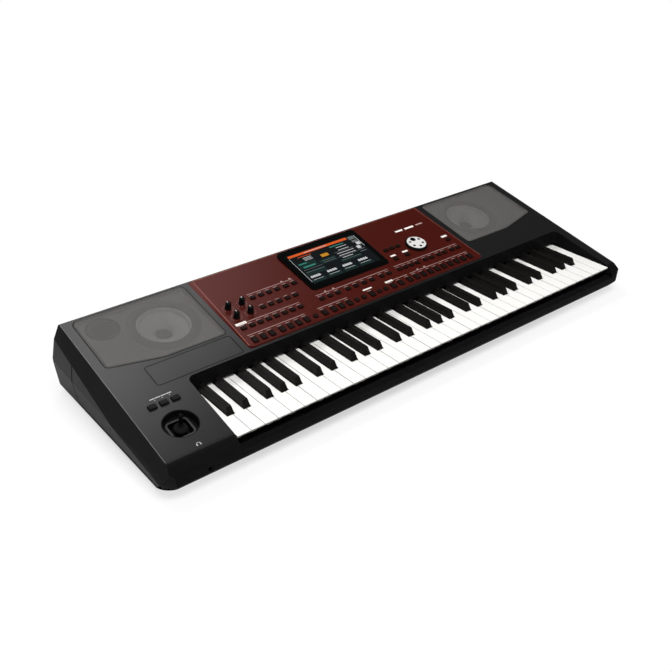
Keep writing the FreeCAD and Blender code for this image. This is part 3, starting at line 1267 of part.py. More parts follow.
contact = doc.addObject("Part::Box", "key_contact_board")
contact.Label = "key_contact_board"
contact.Placement.Base = V(well_left + s.contact_inset, s.contact_front_y, contact_low)
contact.setExpression("Length", f"{WHITE_KEYS} * sizes.key_pitch"
                                " + 2 * (sizes.well_gap - sizes.contact_inset)")
contact.setExpression("Width", "sizes.contact_back_y - sizes.contact_front_y")
contact.setExpression("Height", "sizes.board_thick")
NODES.append(contact)

# Rubber contact strip: a base with a raised ridge under the levers
strip_low = contact_low + s.board_thick
dome_drop = math.sin(math.radians(s.key_travel)) * (s.hinge_y - s.dome_y + s.dome_half)
dome_top = s.stem_low_z - dome_drop - s.move_gap
strip_left = well_left + s.well_gap + s.board_margin
strip_right = well_right - s.well_gap - s.board_margin
strip_base = block(strip_left, strip_right, s.dome_y - s.strip_half, s.dome_y + s.strip_half,
                   strip_low, strip_low + s.strip_thick)
ridge = block(strip_left + s.board_margin, strip_right - s.board_margin, s.dome_y - s.dome_half,
              s.dome_y + s.dome_half, strip_low + s.strip_thick, dome_top)
add_shape("contact_domes", join([strip_base, ridge]))

# Boards and supply on the lower case
main_top = s.board_z + s.board_thick
main_parts = [block(s.main_left, s.main_left + s.main_width, s.main_front, s.main_front + s.main_depth,
                    s.board_z, main_top)]
# Chips and a connector: place from the board's left front corner, then width, depth and height
for x, y, width, depth, height in ((56.0, 31.0, 28.0, 28.0, 2.4), (110.0, 38.0, 20.0, 14.0, 1.8),
                                   (158.0, 18.0, 24.0, 24.0, 2.2), (28.0, 10.0, 14.0, 20.0, 1.8),
                                   (195.0, 56.0, 30.0, 8.0, 9.0)):
    main_parts.append(block(s.main_left + x, s.main_left + x + width, s.main_front + y,
                            s.main_front + y + depth, main_top, main_top + height))
add_shape("main_board", join(main_parts))

sink_back = s.main_front + s.amp_depth - s.boss_side
sink_left = s.amp_left + 2 * s.boss_side
sink_width = s.amp_width - 4 * s.boss_side
amp_parts = [block(s.amp_left, s.amp_left + s.amp_width, s.main_front, s.main_front + s.amp_depth,
                   s.board_z, main_top)]
amp_parts.append(block(sink_left, sink_left + sink_width, sink_back - s.boss_side, sink_back,
                       main_top, main_top + s.sink_height))
for x in spread(sink_left, s.fin_pitch, int(sink_width / s.fin_pitch)):
    amp_parts.append(block(x, x + s.fin_thick, sink_back - s.boss_side - s.fin_depth, sink_back,
                           main_top + s.fin_thick, main_top + s.sink_height))
add_shape("amplifier_board", join(amp_parts))

supply = add_body("power_supply", FreeCAD.Placement(V(s.supply_left, s.main_front, floor_z),
                                                    FreeCAD.Rotation()))
add_pad(supply, [rectangle(0, s.supply_width, 0, s.supply_depth)], "sizes.supply_height")
slot_count = int((s.supply_width - 2 * s.slot_margin) / s.slot_pitch) + 1
air_slots = [rectangle(x, x + s.slot_width, s.slot_margin, s.supply_depth - s.slot_margin)
             for x in spread(s.slot_margin, s.slot_pitch, slot_count)]
add_pocket(supply, air_slots, "sizes.slot_deep", s.supply_height)

# Sockets at the rear, drawn in the frame of the rear wall
inner_face = -s.wall
socket_back = inner_face - s.socket_deep


def socket_body(x, half_width):
    """Square body of a socket behind the rear wall."""
    return block(x - half_width, x + half_width, socket_back, inner_face,
                 s.socket_up - s.socket_half, s.socket_up + s.socket_half)


def along_y(radius, x, low, high):
    """Round solid out of the rear wall about a socket's axis."""
    return rod(radius, (x, low, s.socket_up), (x, high, s.socket_up))


def box_y(x, width, height, low, high):
    """Rectangular solid out of the rear wall about a socket's axis."""
    return block(x - width / 2, x + width / 2, low, high, s.socket_up - height / 2, s.socket_up + height / 2)


proud = s.socket_proud
sockets = []
for x in rear_jacks():
    nose = 2 * s.jack_sleeve
    jack = socket_body(x, s.jack_half).fuse(box_y(x, nose, nose, inner_face, proud))
    sockets.append(jack.cut(along_y(s.jack_radius, x, proud - s.jack_bore, 2 * proud)))
for x in data_sockets():
    nose = 2 * (s.din_radius + s.din_wall)
    din = socket_body(x, s.socket_half).fuse(box_y(x, nose, nose, inner_face, proud))
    sockets.append(din.cut(rod_y(s.din_radius, x, s.socket_up, proud - s.din_deep, 2 * proud, PORT_SIDES)))
usb = socket_body(s.usb_x, s.jack_half).fuse(box_y(s.usb_x, s.usb_width, s.usb_height, inner_face, proud))
usb_in = s.usb_width - 2 * s.usb_wall
usb = usb.cut(box_y(s.usb_x, usb_in, s.usb_height - 2 * s.usb_wall, proud - s.usb_deep, 2 * proud))
tongue = box_y(s.usb_x, usb_in / 2, s.usb_wall, proud - s.usb_deep, 0)
sockets.append(usb.fuse(tongue).removeSplitter())
add_shape("rear_sockets", on_rear(Part.makeCompound(sockets)))

inlet = socket_body(s.inlet_x, s.inlet_width / 2 + s.inlet_wall)
inlet = inlet.fuse(box_y(s.inlet_x, s.inlet_width, s.inlet_height, inner_face, proud))
inlet = inlet.cut(box_y(s.inlet_x, s.inlet_width - 2 * s.inlet_wall, s.inlet_height - 2 * s.inlet_wall,
                        proud - s.inlet_deep, 2 * proud))
for x in (s.inlet_x - s.inlet_pin_pitch / 2, s.inlet_x + s.inlet_pin_pitch / 2):
    inlet = inlet.fuse(rod_y(s.inlet_pin_radius, x, s.socket_up, proud - s.inlet_deep, -1, SMALL_SIDES))
add_shape("power_inlet", on_rear(inlet.removeSplitter()))

root_front = inner_face - s.move_gap
root_back = root_front - s.power_root
power = box_y(s.power_x, s.power_width, s.power_height, root_back, s.power_proud)
power = power.fuse(box_y(s.power_x, s.power_width + s.power_flange, s.power_height + s.power_flange,
                         root_back, root_front))
add_shape("power_button", on_rear(power.removeSplitter()))

board_left = s.power_x - s.socket_half
board_right = s.jack_right_x + s.jack_half
board_foot = s.socket_up - s.socket_half - s.jack_board_below
jack_parts = [block(board_left, board_right, socket_back - s.board_thick, socket_back, board_foot,
                    s.socket_up + s.socket_half + s.jack_board_above)]
jack_parts.append(box_y(s.power_x, s.power_width + s.power_flange, s.power_height + s.power_flange,
                        socket_back, root_back - s.power_travel - s.move_gap))
add_shape("jack_board", on_rear(join(jack_parts)))

phones_face = s.front_y + s.wall + 1
phones_end = phones_face + s.jack_bore + 2
phones = block(phones_x - s.jack_sleeve, phones_x + s.jack_sleeve, phones_face, phones_end,
               s.phones_z - s.jack_sleeve, s.phones_z + s.jack_sleeve)
phones_front = s.front_y + 0.5
phones = phones.fuse(rod_y(s.phones_sleeve, phones_x, s.phones_z, phones_front, phones_face, PORT_SIDES))
phones = phones.cut(rod(s.jack_radius, (phones_x, s.front_y - 1, s.phones_z),
                        (phones_x, phones_front + s.jack_bore, s.phones_z)))
add_shape("headphone_jack", phones)

# Check every object, then write one file for each piece
doc.recompute()
for item in doc.Objects:
    if "Invalid" in item.State or "Error" in item.State:
        raise RuntimeError(f"{item.Label} did not build: {item.State}")
os.makedirs("parts", exist_ok=True)
for node in NODES:
    if node.Shape.isNull() or not node.Shape.isValid():
        raise RuntimeError(f"{node.Label} has no valid shape")
    node.Shape.exportStep(f"parts/{node.Label}.step")
print(len(NODES), "pieces written")
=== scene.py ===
# %% [markdown]
# # Dressing an arranger keyboard
# The solids of this keyboard come from its CAD model and stay where they are. This lesson gives
# them their finishes, rounds the small caps that a hand touches, prints the panel, lights the
# screen, and photographs the whole under soft studio light. Lengths are in millimetres until a
# mesh is made, because that is how a maker would read them.

# %% Load the CAD frame
import math

import bmesh
import bpy
import numpy as np
from mathutils import Matrix, Vector


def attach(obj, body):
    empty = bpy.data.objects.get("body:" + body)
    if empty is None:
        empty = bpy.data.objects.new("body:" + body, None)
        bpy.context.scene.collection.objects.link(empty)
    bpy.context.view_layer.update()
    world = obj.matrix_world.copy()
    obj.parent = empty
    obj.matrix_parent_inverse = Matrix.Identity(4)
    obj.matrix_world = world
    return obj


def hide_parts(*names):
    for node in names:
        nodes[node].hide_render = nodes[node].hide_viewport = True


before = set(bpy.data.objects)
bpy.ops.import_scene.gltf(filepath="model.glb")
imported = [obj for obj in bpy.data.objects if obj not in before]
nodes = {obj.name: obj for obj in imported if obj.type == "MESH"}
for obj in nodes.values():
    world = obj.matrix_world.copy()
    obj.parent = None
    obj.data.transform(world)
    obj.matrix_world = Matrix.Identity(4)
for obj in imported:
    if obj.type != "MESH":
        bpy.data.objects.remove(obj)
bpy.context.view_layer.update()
MM = 0.001

# %% [markdown]
# ## The camera
# The photograph was taken from the front left and from above. A camera fitted to the key edges and
# to the edges of the case gives its angles, its place and its lens, so the render can be laid over
# the photograph. The three axes are built from the two angles and then turned by a small roll.

# %% Camera
CAMERA_AZIMUTH = math.radians(-38.119)
CAMERA_ELEVATION = math.radians(30.805)
CAMERA_ROLL = math.radians(-0.504)
CAMERA_PLACE = Vector((-864.7, -1016.0, 791.5)) * MM
CAMERA_LENS = 46.0


def camera_axes(azimuth, elevation, roll):
    """Right, up and backward axes: backward points from the target to the eye, and the other two
    are turned about it by the roll."""
    back = Vector((math.sin(azimuth) * math.cos(elevation),
                   -math.cos(azimuth) * math.cos(elevation), math.sin(elevation)))
    level = Vector((0, 0, 1)).cross(back).normalized()
    upward = back.cross(level)
    right = level * math.cos(roll) + upward * math.sin(roll)
    return right, back.cross(right), back


camera_data = bpy.data.cameras.new("studio_camera")
camera_data.lens = CAMERA_LENS
camera_data.sensor_width = 36.0
camera_data.clip_start = 0.01
camera = bpy.data.objects.new("studio_camera", camera_data)
axes = Matrix(camera_axes(CAMERA_AZIMUTH, CAMERA_ELEVATION, CAMERA_ROLL)).transposed()
camera.matrix_world = Matrix.Translation(CAMERA_PLACE) @ axes.to_4x4()
bpy.context.collection.objects.link(camera)
bpy.context.scene.camera = camera
print("camera stands", round(CAMERA_PLACE.length, 3), "m from the middle of the case")

# %% [markdown]
# ## Nodes and colours
# Every finish is a Principled shader with a few nodes in front of it. One small function adds a node
# with its settings and its numbers, and one wires it to the others. Colours are written as sRGB hex
# values, the way a designer notes them, and one function turns them to the linear values that the
# shader wants.

# %% Material helpers
def linear(hex_colour):
    """sRGB hex to linear RGBA: the low part is divided by 12.92, the rest follows a 2.4 power."""
    srgb = np.array([int(hex_colour[i:i + 2], 16) for i in (1, 3, 5)]) / 255
    rgb = np.where(srgb <= 0.04045, srgb / 12.92, ((srgb + 0.055) / 1.055) ** 2.4)
    return (*rgb.tolist(), 1.0)


def feed(node, links):
    """Wire outputs of other nodes into the named sockets of a node."""
    for socket, source in links.items():
        node.id_data.links.new(source, node.inputs[socket])


def add(material, kind, values=None, links=None, **settings):
    """Add one shader node: settings are its properties, values its socket numbers, and links name
    the sockets that take the output of another node."""
    node = material.node_tree.nodes.new(kind)
    for key, value in settings.items():
        setattr(node, key, value)
    for socket, value in (values or {}).items():
        node.inputs[socket].default_value = value
    feed(node, links or {})
    return node


def per_mm(size):
    """Texture scale for a pattern of the given size in millimetres, on coordinates in metres."""
    return 1.0 / (size * MM)


def start(name, colour, roughness, **values):
    """New material: its Principled shader with colour, roughness and other constant sockets, and the
    coordinates that its patterns are laid on."""
    material = bpy.data.materials.new(name)
    material.use_nodes = True
    shader = material.node_tree.nodes["Principled BSDF"]
    shader.inputs["Base Color"].default_value = linear(colour)
    shader.inputs["Roughness"].default_value = roughness
    for socket, value in values.items():
        shader.inputs[socket.replace("_", " ")].default_value = value
    return material, shader, add(material, "ShaderNodeTexCoord").outputs["Object"]


def moulded(name, colour, dark, roughness=0.45, spread=0.06, grain=0.7, height=0.03, shine=0.03):
    """Injection-moulded plastic. The fine grain of an eroded mould lifts the surface, varies the gloss
    and scatters most of it: the shine is the specular level that is left. A broad noise varies the
    colour."""
    material, shader, place = start(name, colour, roughness, IOR=1.53, Specular_IOR_Level=shine)
    fine = add(material, "ShaderNodeTexNoise", {"Scale": per_mm(grain), "Detail": 3.0}, {"Vector": place})
    broad = add(material, "ShaderNodeTexNoise", {"Scale": per_mm(90.0), "Detail": 2.0}, {"Vector": place})
    gloss = add(material, "ShaderNodeMapRange",
                {"To Min": roughness - spread, "To Max": roughness + spread},
                {"Value": fine.outputs["Fac"]})
    tone = add(material, "ShaderNodeMix", {6: linear(dark), 7: linear(colour)},
               {0: broad.outputs["Fac"]}, data_type="RGBA")
    bump = add(material, "ShaderNodeBump", {"Strength": 0.35, "Distance": height * MM},
               {"Height": fine.outputs["Fac"]})
    feed(shader, {"Base Color": tone.outputs[2], "Roughness": gloss.outputs["Result"],
                  "Normal": bump.outputs["Normal"]})
    return material


print("helpers ready; mid grey is", [round(value, 3) for value in linear("#808080")[:3]])

# %% [markdown]
# ## Plastics
# The deck is black ABS from a satin mould, which shows a broad sheen. The flanks and the chin come
# from a coarser mould and stay dull, so they hardly mirror the white floor. The upright side walls
# get a dark grey instead of black: that is painted light, for the light that falls on them. The caps
# of the buttons are the same plastic in a brown black. The keys are polished: white ABS with a hard
# gloss, and satin black for the sharps. A real mould leaves a grain of about half a millimetre; here
# it is drawn at 0.7 mm, the least that shows.

# %% Plastic finishes
case_abs = moulded("black ABS deck, satin mould", "#1b1b1c", "#171718", 0.3, shine=0.2)
flank_abs = moulded("black ABS flank, coarse mould", "#141415", "#101011", 0.42, shine=0.01)
side_abs = moulded("black ABS side, grained mould", "#1e1e1f", "#19191a", 0.42, shine=0.01)
# The upright side walls get a dark grey instead of black: painted light for the light falling on them.
painted_light_wall = moulded("black ABS side wall, painted light", "#444445", "#3d3d3e", 0.45, shine=0.01)
# Near black for the faces of the side groove: painted shade where shade falls in the groove.
painted_groove_shade = moulded("painted shade in the side groove", "#040404", "#030303", 0.9, shine=0.0)
# Light grey for a thin strip along the deck's side edges: a painted highlight.
painted_edge_highlight = moulded("painted highlight on the deck edge", "#6f6f71", "#626264", 0.4, shine=0.1)
black_abs = moulded("black ABS, polished mould", "#0f0f0f", "#0c0c0c", 0.42)
cap_abs = moulded("brown-black ABS cap", "#1f1513", "#18100e", 0.40, grain=0.5)
switch_abs = moulded("black ABS cap", "#1b1b1c", "#161617", 0.42, grain=0.5)
white_key = moulded("polished white ABS key", "#f2f1ee", "#eeede9", 0.22, 0.03, 1.4, 0.004, 0.4)
# Grey for the sides and fronts of the white keys: painted shade.
painted_shade_key_side = moulded("white ABS key side, painted shade", "#8f8e8b", "#858481", 0.6)
black_key = moulded("satin black ABS key", "#161413", "#121010", 0.4, 0.05, 0.5, 0.012, 0.06)
bezel_abs = moulded("polished black ABS", "#0a0a0b", "#080808", 0.15, 0.02, 1.2, 0.003, 0.04)
rubber = moulded("black moulded rubber", "#1a1a1a", "#151515", 0.75, 0.08, 0.6, 0.05)
trim_abs = moulded("grey ABS trim ring", "#3f3f40", "#383839", 0.5)
silicone = moulded("grey silicone rubber", "#8d8d8c", "#7d7d7c", 0.6, 0.06, 0.8, 0.03)
print("plastics:", [material.name for material in (case_abs, cap_abs, white_key, black_key)])

# %% [markdown]
# ## Metals, lacquer, paper and felt
# The panel is aluminium sheet under a dark red lacquer with a faint flake. The speaker grilles are
# steel sheet with punched holes, powder coated grey: the holes are a staggered lattice that lets the
# drivers behind show through. Hidden sheet metal is plain brushed steel.

# %% Panel lacquer
def flake_lacquer(name, colour, dark, flake):
    """Lacquer over metal: cells of the flake size vary the tone and the gloss."""
    material, shader, place = start(name, colour, 0.42, Metallic=0.2, Specular_IOR_Level=0.14)
    cells = add(material, "ShaderNodeTexVoronoi", {"Scale": per_mm(flake)}, {"Vector": place})
    shade = add(material, "ShaderNodeSeparateColor", links={"Color": cells.outputs["Color"]})
    tone = add(material, "ShaderNodeMix", {6: linear(dark), 7: linear(colour)},
               {0: shade.outputs["Red"]}, data_type="RGBA")
    gloss = add(material, "ShaderNodeMapRange", {"To Min": 0.32, "To Max": 0.44},
                {"Value": shade.outputs["Green"]})
    feed(shader, {"Base Color": tone.outputs[2], "Roughness": gloss.outputs["Result"]})
    return material


red_lacquer = flake_lacquer("dark red lacquer on aluminium", "#4a130b", "#421009", 0.8)
# A lighter red for a thin line along the panel's edge: a painted highlight.
painted_highlight_lacquer = flake_lacquer("painted highlight on the red lacquer", "#9a5c53", "#8e5249", 0.6)
print("panel finishes:", red_lacquer.name, "and", painted_highlight_lacquer.name)


# %% Perforated grille steel
DECK_RISE = 0.2161
DECK_ANGLE = math.atan(DECK_RISE)
HOLE_PITCH = 1.9
HOLE_RADIUS = 0.75


def perforated(name, colour, dark):
    """Punched sheet: a lattice of cells turned by 45 degrees in the plane of the deck, open where
    the distance to a cell's middle is under the hole's radius."""
    material, shader, place = start(name, colour, 0.5, Specular_IOR_Level=0.2)
    level = add(material, "ShaderNodeMapping", {"Rotation": (-DECK_ANGLE, 0, 0)}, {"Vector": place})
    turned = add(material, "ShaderNodeMapping", {"Rotation": (0, 0, math.radians(45))},
                 {"Vector": level.outputs["Vector"]})
    lattice = add(material, "ShaderNodeTexVoronoi", {"Scale": per_mm(HOLE_PITCH), "Randomness": 0.0},
                  {"Vector": turned.outputs["Vector"]}, voronoi_dimensions="2D")
    metal = add(material, "ShaderNodeMath", {1: HOLE_RADIUS / HOLE_PITCH},
                {0: lattice.outputs["Distance"]}, operation="GREATER_THAN")
    worn = add(material, "ShaderNodeTexNoise", {"Scale": per_mm(60.0)}, {"Vector": place})
    tone = add(material, "ShaderNodeMix", {6: linear(dark), 7: linear(colour)},
               {0: worn.outputs["Fac"]}, data_type="RGBA")
    feed(shader, {"Base Color": tone.outputs[2], "Alpha": metal.outputs["Value"]})
    return material


grille_steel = perforated("punched steel, grey powder coat", "#676563", "#615f5d")
print("open share of the grille:", round(math.pi * HOLE_RADIUS ** 2 / HOLE_PITCH ** 2, 2))


# %% Hidden metals, paper, felt and board
def brushed(name, colour, roughness, line):
    """Brushed metal: noise stretched along X gives the fine lines."""
    material, shader, place = start(name, colour, roughness, Metallic=1.0)
    stretch = add(material, "ShaderNodeMapping", {"Scale": (0.05, 1, 1)}, {"Vector": place})
    lines = add(material, "ShaderNodeTexNoise", {"Scale": per_mm(line), "Detail": 2.0},
                {"Vector": stretch.outputs["Vector"]})
    gloss = add(material, "ShaderNodeMapRange", {"To Min": roughness - 0.1, "To Max": roughness + 0.1},
                {"Value": lines.outputs["Fac"]})
    feed(shader, {"Roughness": gloss.outputs["Result"]})
    return material


steel = brushed("brushed zinc-plated steel", "#b9babb", 0.4, 0.6)
cone_paper = moulded("grey pressed paper cone", "#e2e0db", "#d8d6d1", 0.8, 0.1, 1.2, 0.15)
gasket_foam = moulded("grey foam gasket", "#777572", "#6e6c69", 0.9, 0.1, 1.2, 0.1)
roll_rubber = moulded("grey butyl rubber roll", "#d6d4cf", "#cdcbc6", 0.6, 0.06, 0.9, 0.05)
baffle_felt = moulded("grey felt on the baffle", "#8b8986", "#83817e", 0.95, 0.04, 0.6, 0.2)
driver_steel = moulded("black coated steel basket", "#3a3937", "#32312f", 0.5, 0.05, 0.8, 0.02)
felt = moulded("black wool felt", "#161414", "#100f0f", 0.95, 0.04, 0.5, 0.3)
board_resin = moulded("green solder resist", "#1d5a36", "#174a2c", 0.4, 0.1, 3.0, 0.02)
print("metals and soft finishes:", steel.name, felt.name)

# %% [markdown]
# ## Glass, print and light
# The screen is a dark sheet of glass. What glows behind it is drawn as thin tiles that emit light.
# The legends on the panel are white screen print.

# %% Glass, print and screen colours
def glossy(name, colour, roughness):
    """Polished sheet with faint smears that change its gloss."""
    material, shader, place = start(name, colour, roughness, IOR=1.5, Specular_IOR_Level=0.15)
    smear = add(material, "ShaderNodeTexNoise", {"Scale": per_mm(25.0), "Detail": 4.0}, {"Vector": place})
    gloss = add(material, "ShaderNodeMapRange", {"To Min": roughness, "To Max": roughness + 0.08},
                {"Value": smear.outputs["Fac"]})
    feed(shader, {"Roughness": gloss.outputs["Result"]})
    return material


def glowing(name, colour, strength=1.0):
    """Lit picture element: its own light over a black ground, dimmed by the dot raster."""
    material, shader, place = start(name, "#050505", 0.6, Specular_IOR_Level=0.0)
    dots = add(material, "ShaderNodeTexNoise", {"Scale": per_mm(2.0)}, {"Vector": place})
    level = add(material, "ShaderNodeMapRange", {"To Min": 0.8 * strength, "To Max": 1.1 * strength},
                {"Value": dots.outputs["Fac"]})
    shader.inputs["Emission Color"].default_value = linear(colour)
    feed(shader, {"Emission Strength": level.outputs["Result"]})
    return material


screen_glass = glossy("black touch glass", "#050606", 0.06)
white_print = moulded("white screen print", "#e9e4df", "#ddd8d3", 0.6, 0.05, 0.4, 0.005)
faded_print = moulded("thin white screen print", "#b89c98", "#a88c88", 0.6, 0.05, 0.4, 0.005)
grey_print = moulded("light grey screen print", "#c9c9c9", "#bdbdbd", 0.6, 0.05, 0.4, 0.005)
dial_silver = moulded("silver lacquered dial", "#d3d2d0", "#c9c8c6", 0.3, 0.05, 0.8, 0.006, 0.1)
glow_ground = glowing("screen ground", "#1d2224", 0.6)
glow_orange = glowing("screen orange", "#e8622a", 0.9)
glow_amber = glowing("screen amber", "#d9952b", 0.85)
glow_teal = glowing("screen teal", "#3f8f80", 0.8)
glow_white = glowing("screen white", "#d9dcdc", 0.85)
glow_grey = glowing("screen grey", "#757d7c", 0.8)
glow_green = glowing("screen green", "#1c302d", 0.9)
print("screen colours:", sum(1 for material in bpy.data.materials if material.name.startswith("screen ")))

# %% [markdown]
# ## From the deck to the case
# Everything on the sloped deck is easier to draw in the deck's own frame: x along the keys, y up the
# slope and z out of the deck. One function carries points from there to the case and from
# millimetres to metres, and one carries CAD points back. A CAD node may hold several solids, so the
# solids are found by walking over shared corners once the loose triangles are welded.

# %% Deck frame and the solids of a node
DECK_Z = 91.99
WELD = 0.002
COS, SIN = math.cos(DECK_ANGLE), math.sin(DECK_ANGLE)


def to_case(points):
    """Deck frame in mm to the row frame in m: a turn about X by the deck's angle, then a lift."""
    x, y, z = np.moveaxis(np.asarray(points, float), -1, 0)
    return np.stack([x, y * COS - z * SIN, DECK_Z + y * SIN + z * COS], -1) * MM


def to_deck(points):
    """Row frame in m to the deck frame in mm, the inverse of to_case."""
    x, y, z = np.moveaxis(np.asarray(points, float) / MM, -1, 0)
    z = z - DECK_Z
    return np.stack([x, y * COS + z * SIN, z * COS - y * SIN], -1)


def islands(name):
    """Corner points, in the deck frame, of each separate solid of a CAD node."""
    copy = bmesh.new()
    copy.from_mesh(nodes[name].data)
    bmesh.ops.remove_doubles(copy, verts=copy.verts, dist=WELD * MM)
    copy.verts.index_update()
    copy.verts.ensure_lookup_table()
    left = set(range(len(copy.verts)))
    found = []
    while left:
        front = [left.pop()]
        solid = []
        while front:
            corner = copy.verts[front.pop()]
            solid.append(corner.co[:])
            near = {edge.other_vert(corner).index for edge in corner.link_edges} & left
            left -= near
            front.extend(near)
        found.append(to_deck(solid))
    copy.free()
    return found


def standing(solid, foot):
    """Lowest and highest corner of what stands above a height of the deck frame."""
    above = solid[solid[:, 2] > foot]
    return above.min(0), above.max(0)


def middle_of(low, high):
    """Middle between two corners of a box, laid into the plane of the deck."""
    return (low + high) / 2 * (1, 1, 0)


print("solids in the small buttons:", len(islands("small_buttons")))

# %% [markdown]
# ## Skins
# A cap, a knob or a dial is one closed curve carried up a profile. The curve is sampled once, every
# ring is a scaled or inset copy of it, and the faces join each ring to the next. Whole arrays do the
# work, so a piece is a few lines long.

# %% Rings and skins
LEAST_CORNER = 0.15
DISH_STEPS = (0.6, 0.2)


def rounded_ring(half_x, half_y, radius, steps=6):
    """Rounded rectangle about the origin: four quarter circles, each about its own corner centre."""
    turn = np.linspace(0, np.pi / 2, steps)
    quarter = np.arange(4)[:, None] * np.pi / 2 + turn
    sign_x = np.array([1, -1, -1, 1])[:, None]
    sign_y = np.array([1, 1, -1, -1])[:, None]
    x = sign_x * (half_x - radius) + radius * np.cos(quarter)
    y = sign_y * (half_y - radius) + radius * np.sin(quarter)
    return np.stack([x.ravel(), y.ravel()], -1)


def raised(ring, height):
    """Points of a flat ring, all at one height."""
    return np.column_stack([ring, np.full(len(ring), height)])


def skin(rings, ends=True):
    """Faces between consecutive closed rings, wound so that they point outwards. Where the ends are
    closed, one more face lies over the last ring and one under the first."""
    levels, count = rings.shape[:2]
    level, step = np.meshgrid(np.arange(levels - 1), np.arange(count), indexing="ij")
    here = level * count + step
    beside = level * count + (step + 1) % count
    quads = np.stack([here, beside, beside + count, here + count], -1).reshape(-1, 4).tolist()
    if not ends:
        return quads
    lid = list(range((levels - 1) * count, levels * count))
    return quads + [lid, list(range(count))[::-1]]


def cap_rings(x, y, half_x, half_y, corner, low, high, fillet, dish=0.12):
    """Button cap: the wall rises straight, a quarter circle turns it over, and the top sinks a little
    towards its middle, as the square of the way in."""
    turn = np.linspace(0, np.pi / 2, 5)
    inset = np.concatenate([[0.0], fillet * (1 - np.cos(turn))])
    height = np.concatenate([[low], high - fillet + fillet * np.sin(turn)])
    rings = [raised(rounded_ring(half_x - step, half_y - step, max(corner - step, LEAST_CORNER)), level)
             for step, level in zip(inset, height)]
    edge = rings[-1][:, :2]
    for share in DISH_STEPS:
        rings.append(raised(edge * share, high - dish * (1 - share ** 2)))
    return np.array(rings) + (x, y, 0)


print("a cap has", len(skin(cap_rings(0, 0, 5, 3.5, 1, 0, 5, 0.8))), "faces")

# %% Tiles and pieces
INK = 0.03


def tiles(boxes, height):
    """Flat rectangles at one height of the deck frame: corners and faces of the boxes x0, x1, y0, y1."""
    x0, x1, y0, y1 = np.asarray(boxes, float).T
    z = np.full_like(x0, height)
    corners = np.stack([np.stack(corner, -1) for corner in
                        ((x0, y0, z), (x1, y0, z), (x1, y1, z), (x0, y1, z))], 1)
    return corners.reshape(-1, 3), np.arange(4 * len(x0)).reshape(-1, 4).tolist()


def piece(name, points, faces, material, body, replaced=None, smooth=True):
    """A finished mesh that rides on a body, takes a slot's finish and may stand for a CAD node."""
    mesh = bpy.data.meshes.new(name)
    mesh.from_pydata(np.asarray(points).tolist(), [], faces)
    mesh.polygons.foreach_set("use_smooth", [smooth] * len(mesh.polygons))
    mesh.materials.append(material)
    mesh.validate()
    made = bpy.data.objects.new(name, mesh)
    bpy.context.collection.objects.link(made)
    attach(made, body)
    if replaced:
        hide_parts(replaced)
    return made


def joined(shapes):
    """Several pairs of points and faces as one pair: the faces of each are counted on from the
    points before it."""
    points, faces, count = [], [], 0
    for corners, loops in shapes:
        faces += [[index + count for index in loop] for loop in loops]
        points.append(corners)
        count += len(corners)
    return np.concatenate(points), faces


def stacked(parts, ends=True):
    """Several sets of rings as one shape, with or without the two faces that close each at its ends."""
    return joined([(rings.reshape(-1, 3), skin(rings, ends)) for rings in parts])


def form(name, rings, material, body, replaced=None):
    """A piece that is closed at both ends, from its rings in the deck frame."""
    points, faces = stacked([rings])
    return piece(name, to_case(points), faces, material, body, replaced)


def flat(name, shape, material, body="case"):
    """A flat piece such as print or trim, from its points and faces in the deck frame."""
    points, faces = shape
    return piece(name, to_case(points), faces, material, body, smooth=False)


print("print and thin trim lie", INK, "mm above what carries them")

# %% [markdown]
# ## Dressing the solids
# Most CAD solids already have the right form, so they only need a finish. Their triangles are
# loose, which would show every facet: a weld modifier joins them, the faces are shaded smooth, and
# a narrow bevel breaks the sharp edges as a mould does. Real edges are never knife sharp, and the
# thin highlight that a bevel catches is what makes a dark case readable.

# %% Finishes and soft edges of the CAD nodes
WHITE_NOTES = ["c_keys", "d_keys", "e_keys", "f_keys", "g_keys", "a_keys", "b_keys"]
BLACK_NOTES = ["c_sharp_keys", "d_sharp_keys", "f_sharp_keys", "g_sharp_keys", "a_sharp_keys"]
SWITCHES = ["assign_switch_1", "assign_switch_2", "assign_switch_3"]
GRILLES = ["left_speaker_grille", "right_speaker_grille"]
BEVEL_ANGLE = math.radians(40)
SPLIT_ANGLE = math.radians(35)


def dress(names, material, edge=0.0, segments=2):
    """Give CAD nodes a finish, weld their triangles for smooth shading, and break their edges by a
    bevel of the given width in millimetres, or only split the shading there if it is zero. Large
    faces lead the normals, so that they stay flat."""
    for name in names:
        node = nodes[name]
        node.data.materials.clear()
        node.data.materials.append(material)
        node.data.polygons.foreach_set("use_smooth", [True] * len(node.data.polygons))
        weld = node.modifiers.new("weld", "WELD")
        weld.merge_threshold = WELD * MM
        if edge:
            bevel = node.modifiers.new("soft edges", "BEVEL")
            bevel.width = edge * MM
            bevel.segments = segments
            bevel.angle_limit = BEVEL_ANGLE
        else:
            split = node.modifiers.new("sharp edges", "EDGE_SPLIT")
            split.split_angle = SPLIT_ANGLE
        node.modifiers.new("flat faces", "WEIGHTED_NORMAL")


dress(["upper_case"], case_abs, 0.6)
dress(["hatch_cover"], case_abs)
dress(["lower_case", "rear_panel"], flank_abs)
dress(["control_panel"], red_lacquer)
dress(["screen_bezel"], bezel_abs)
dress(["touch_screen"], screen_glass)
dress(GRILLES, grille_steel)
dress(["woofers"], driver_steel)
dress(["woofer_cones"], cone_paper)
dress(WHITE_NOTES, white_key, 0.5)
dress(BLACK_NOTES, black_key, 0.6, 3)
dress(SWITCHES, switch_abs, 0.6)
dress(["joystick_well", "joystick_frame", "joystick_yoke", "joystick_stick"], black_abs)
dress(["rear_sockets", "power_inlet", "headphone_jack", "power_button"], black_abs)
dress(["rubber_feet"], rubber)
dress(["lcd_module", "key_frame", "power_supply"], steel)
dress(["panel_board", "key_contact_board", "main_board", "amplifier_board", "jack_board"], board_resin)
dress(["key_stop_felts"], felt)
dress(["contact_domes"], silicone)
print("dressed nodes:", sum(1 for node in nodes.values() if node.modifiers))
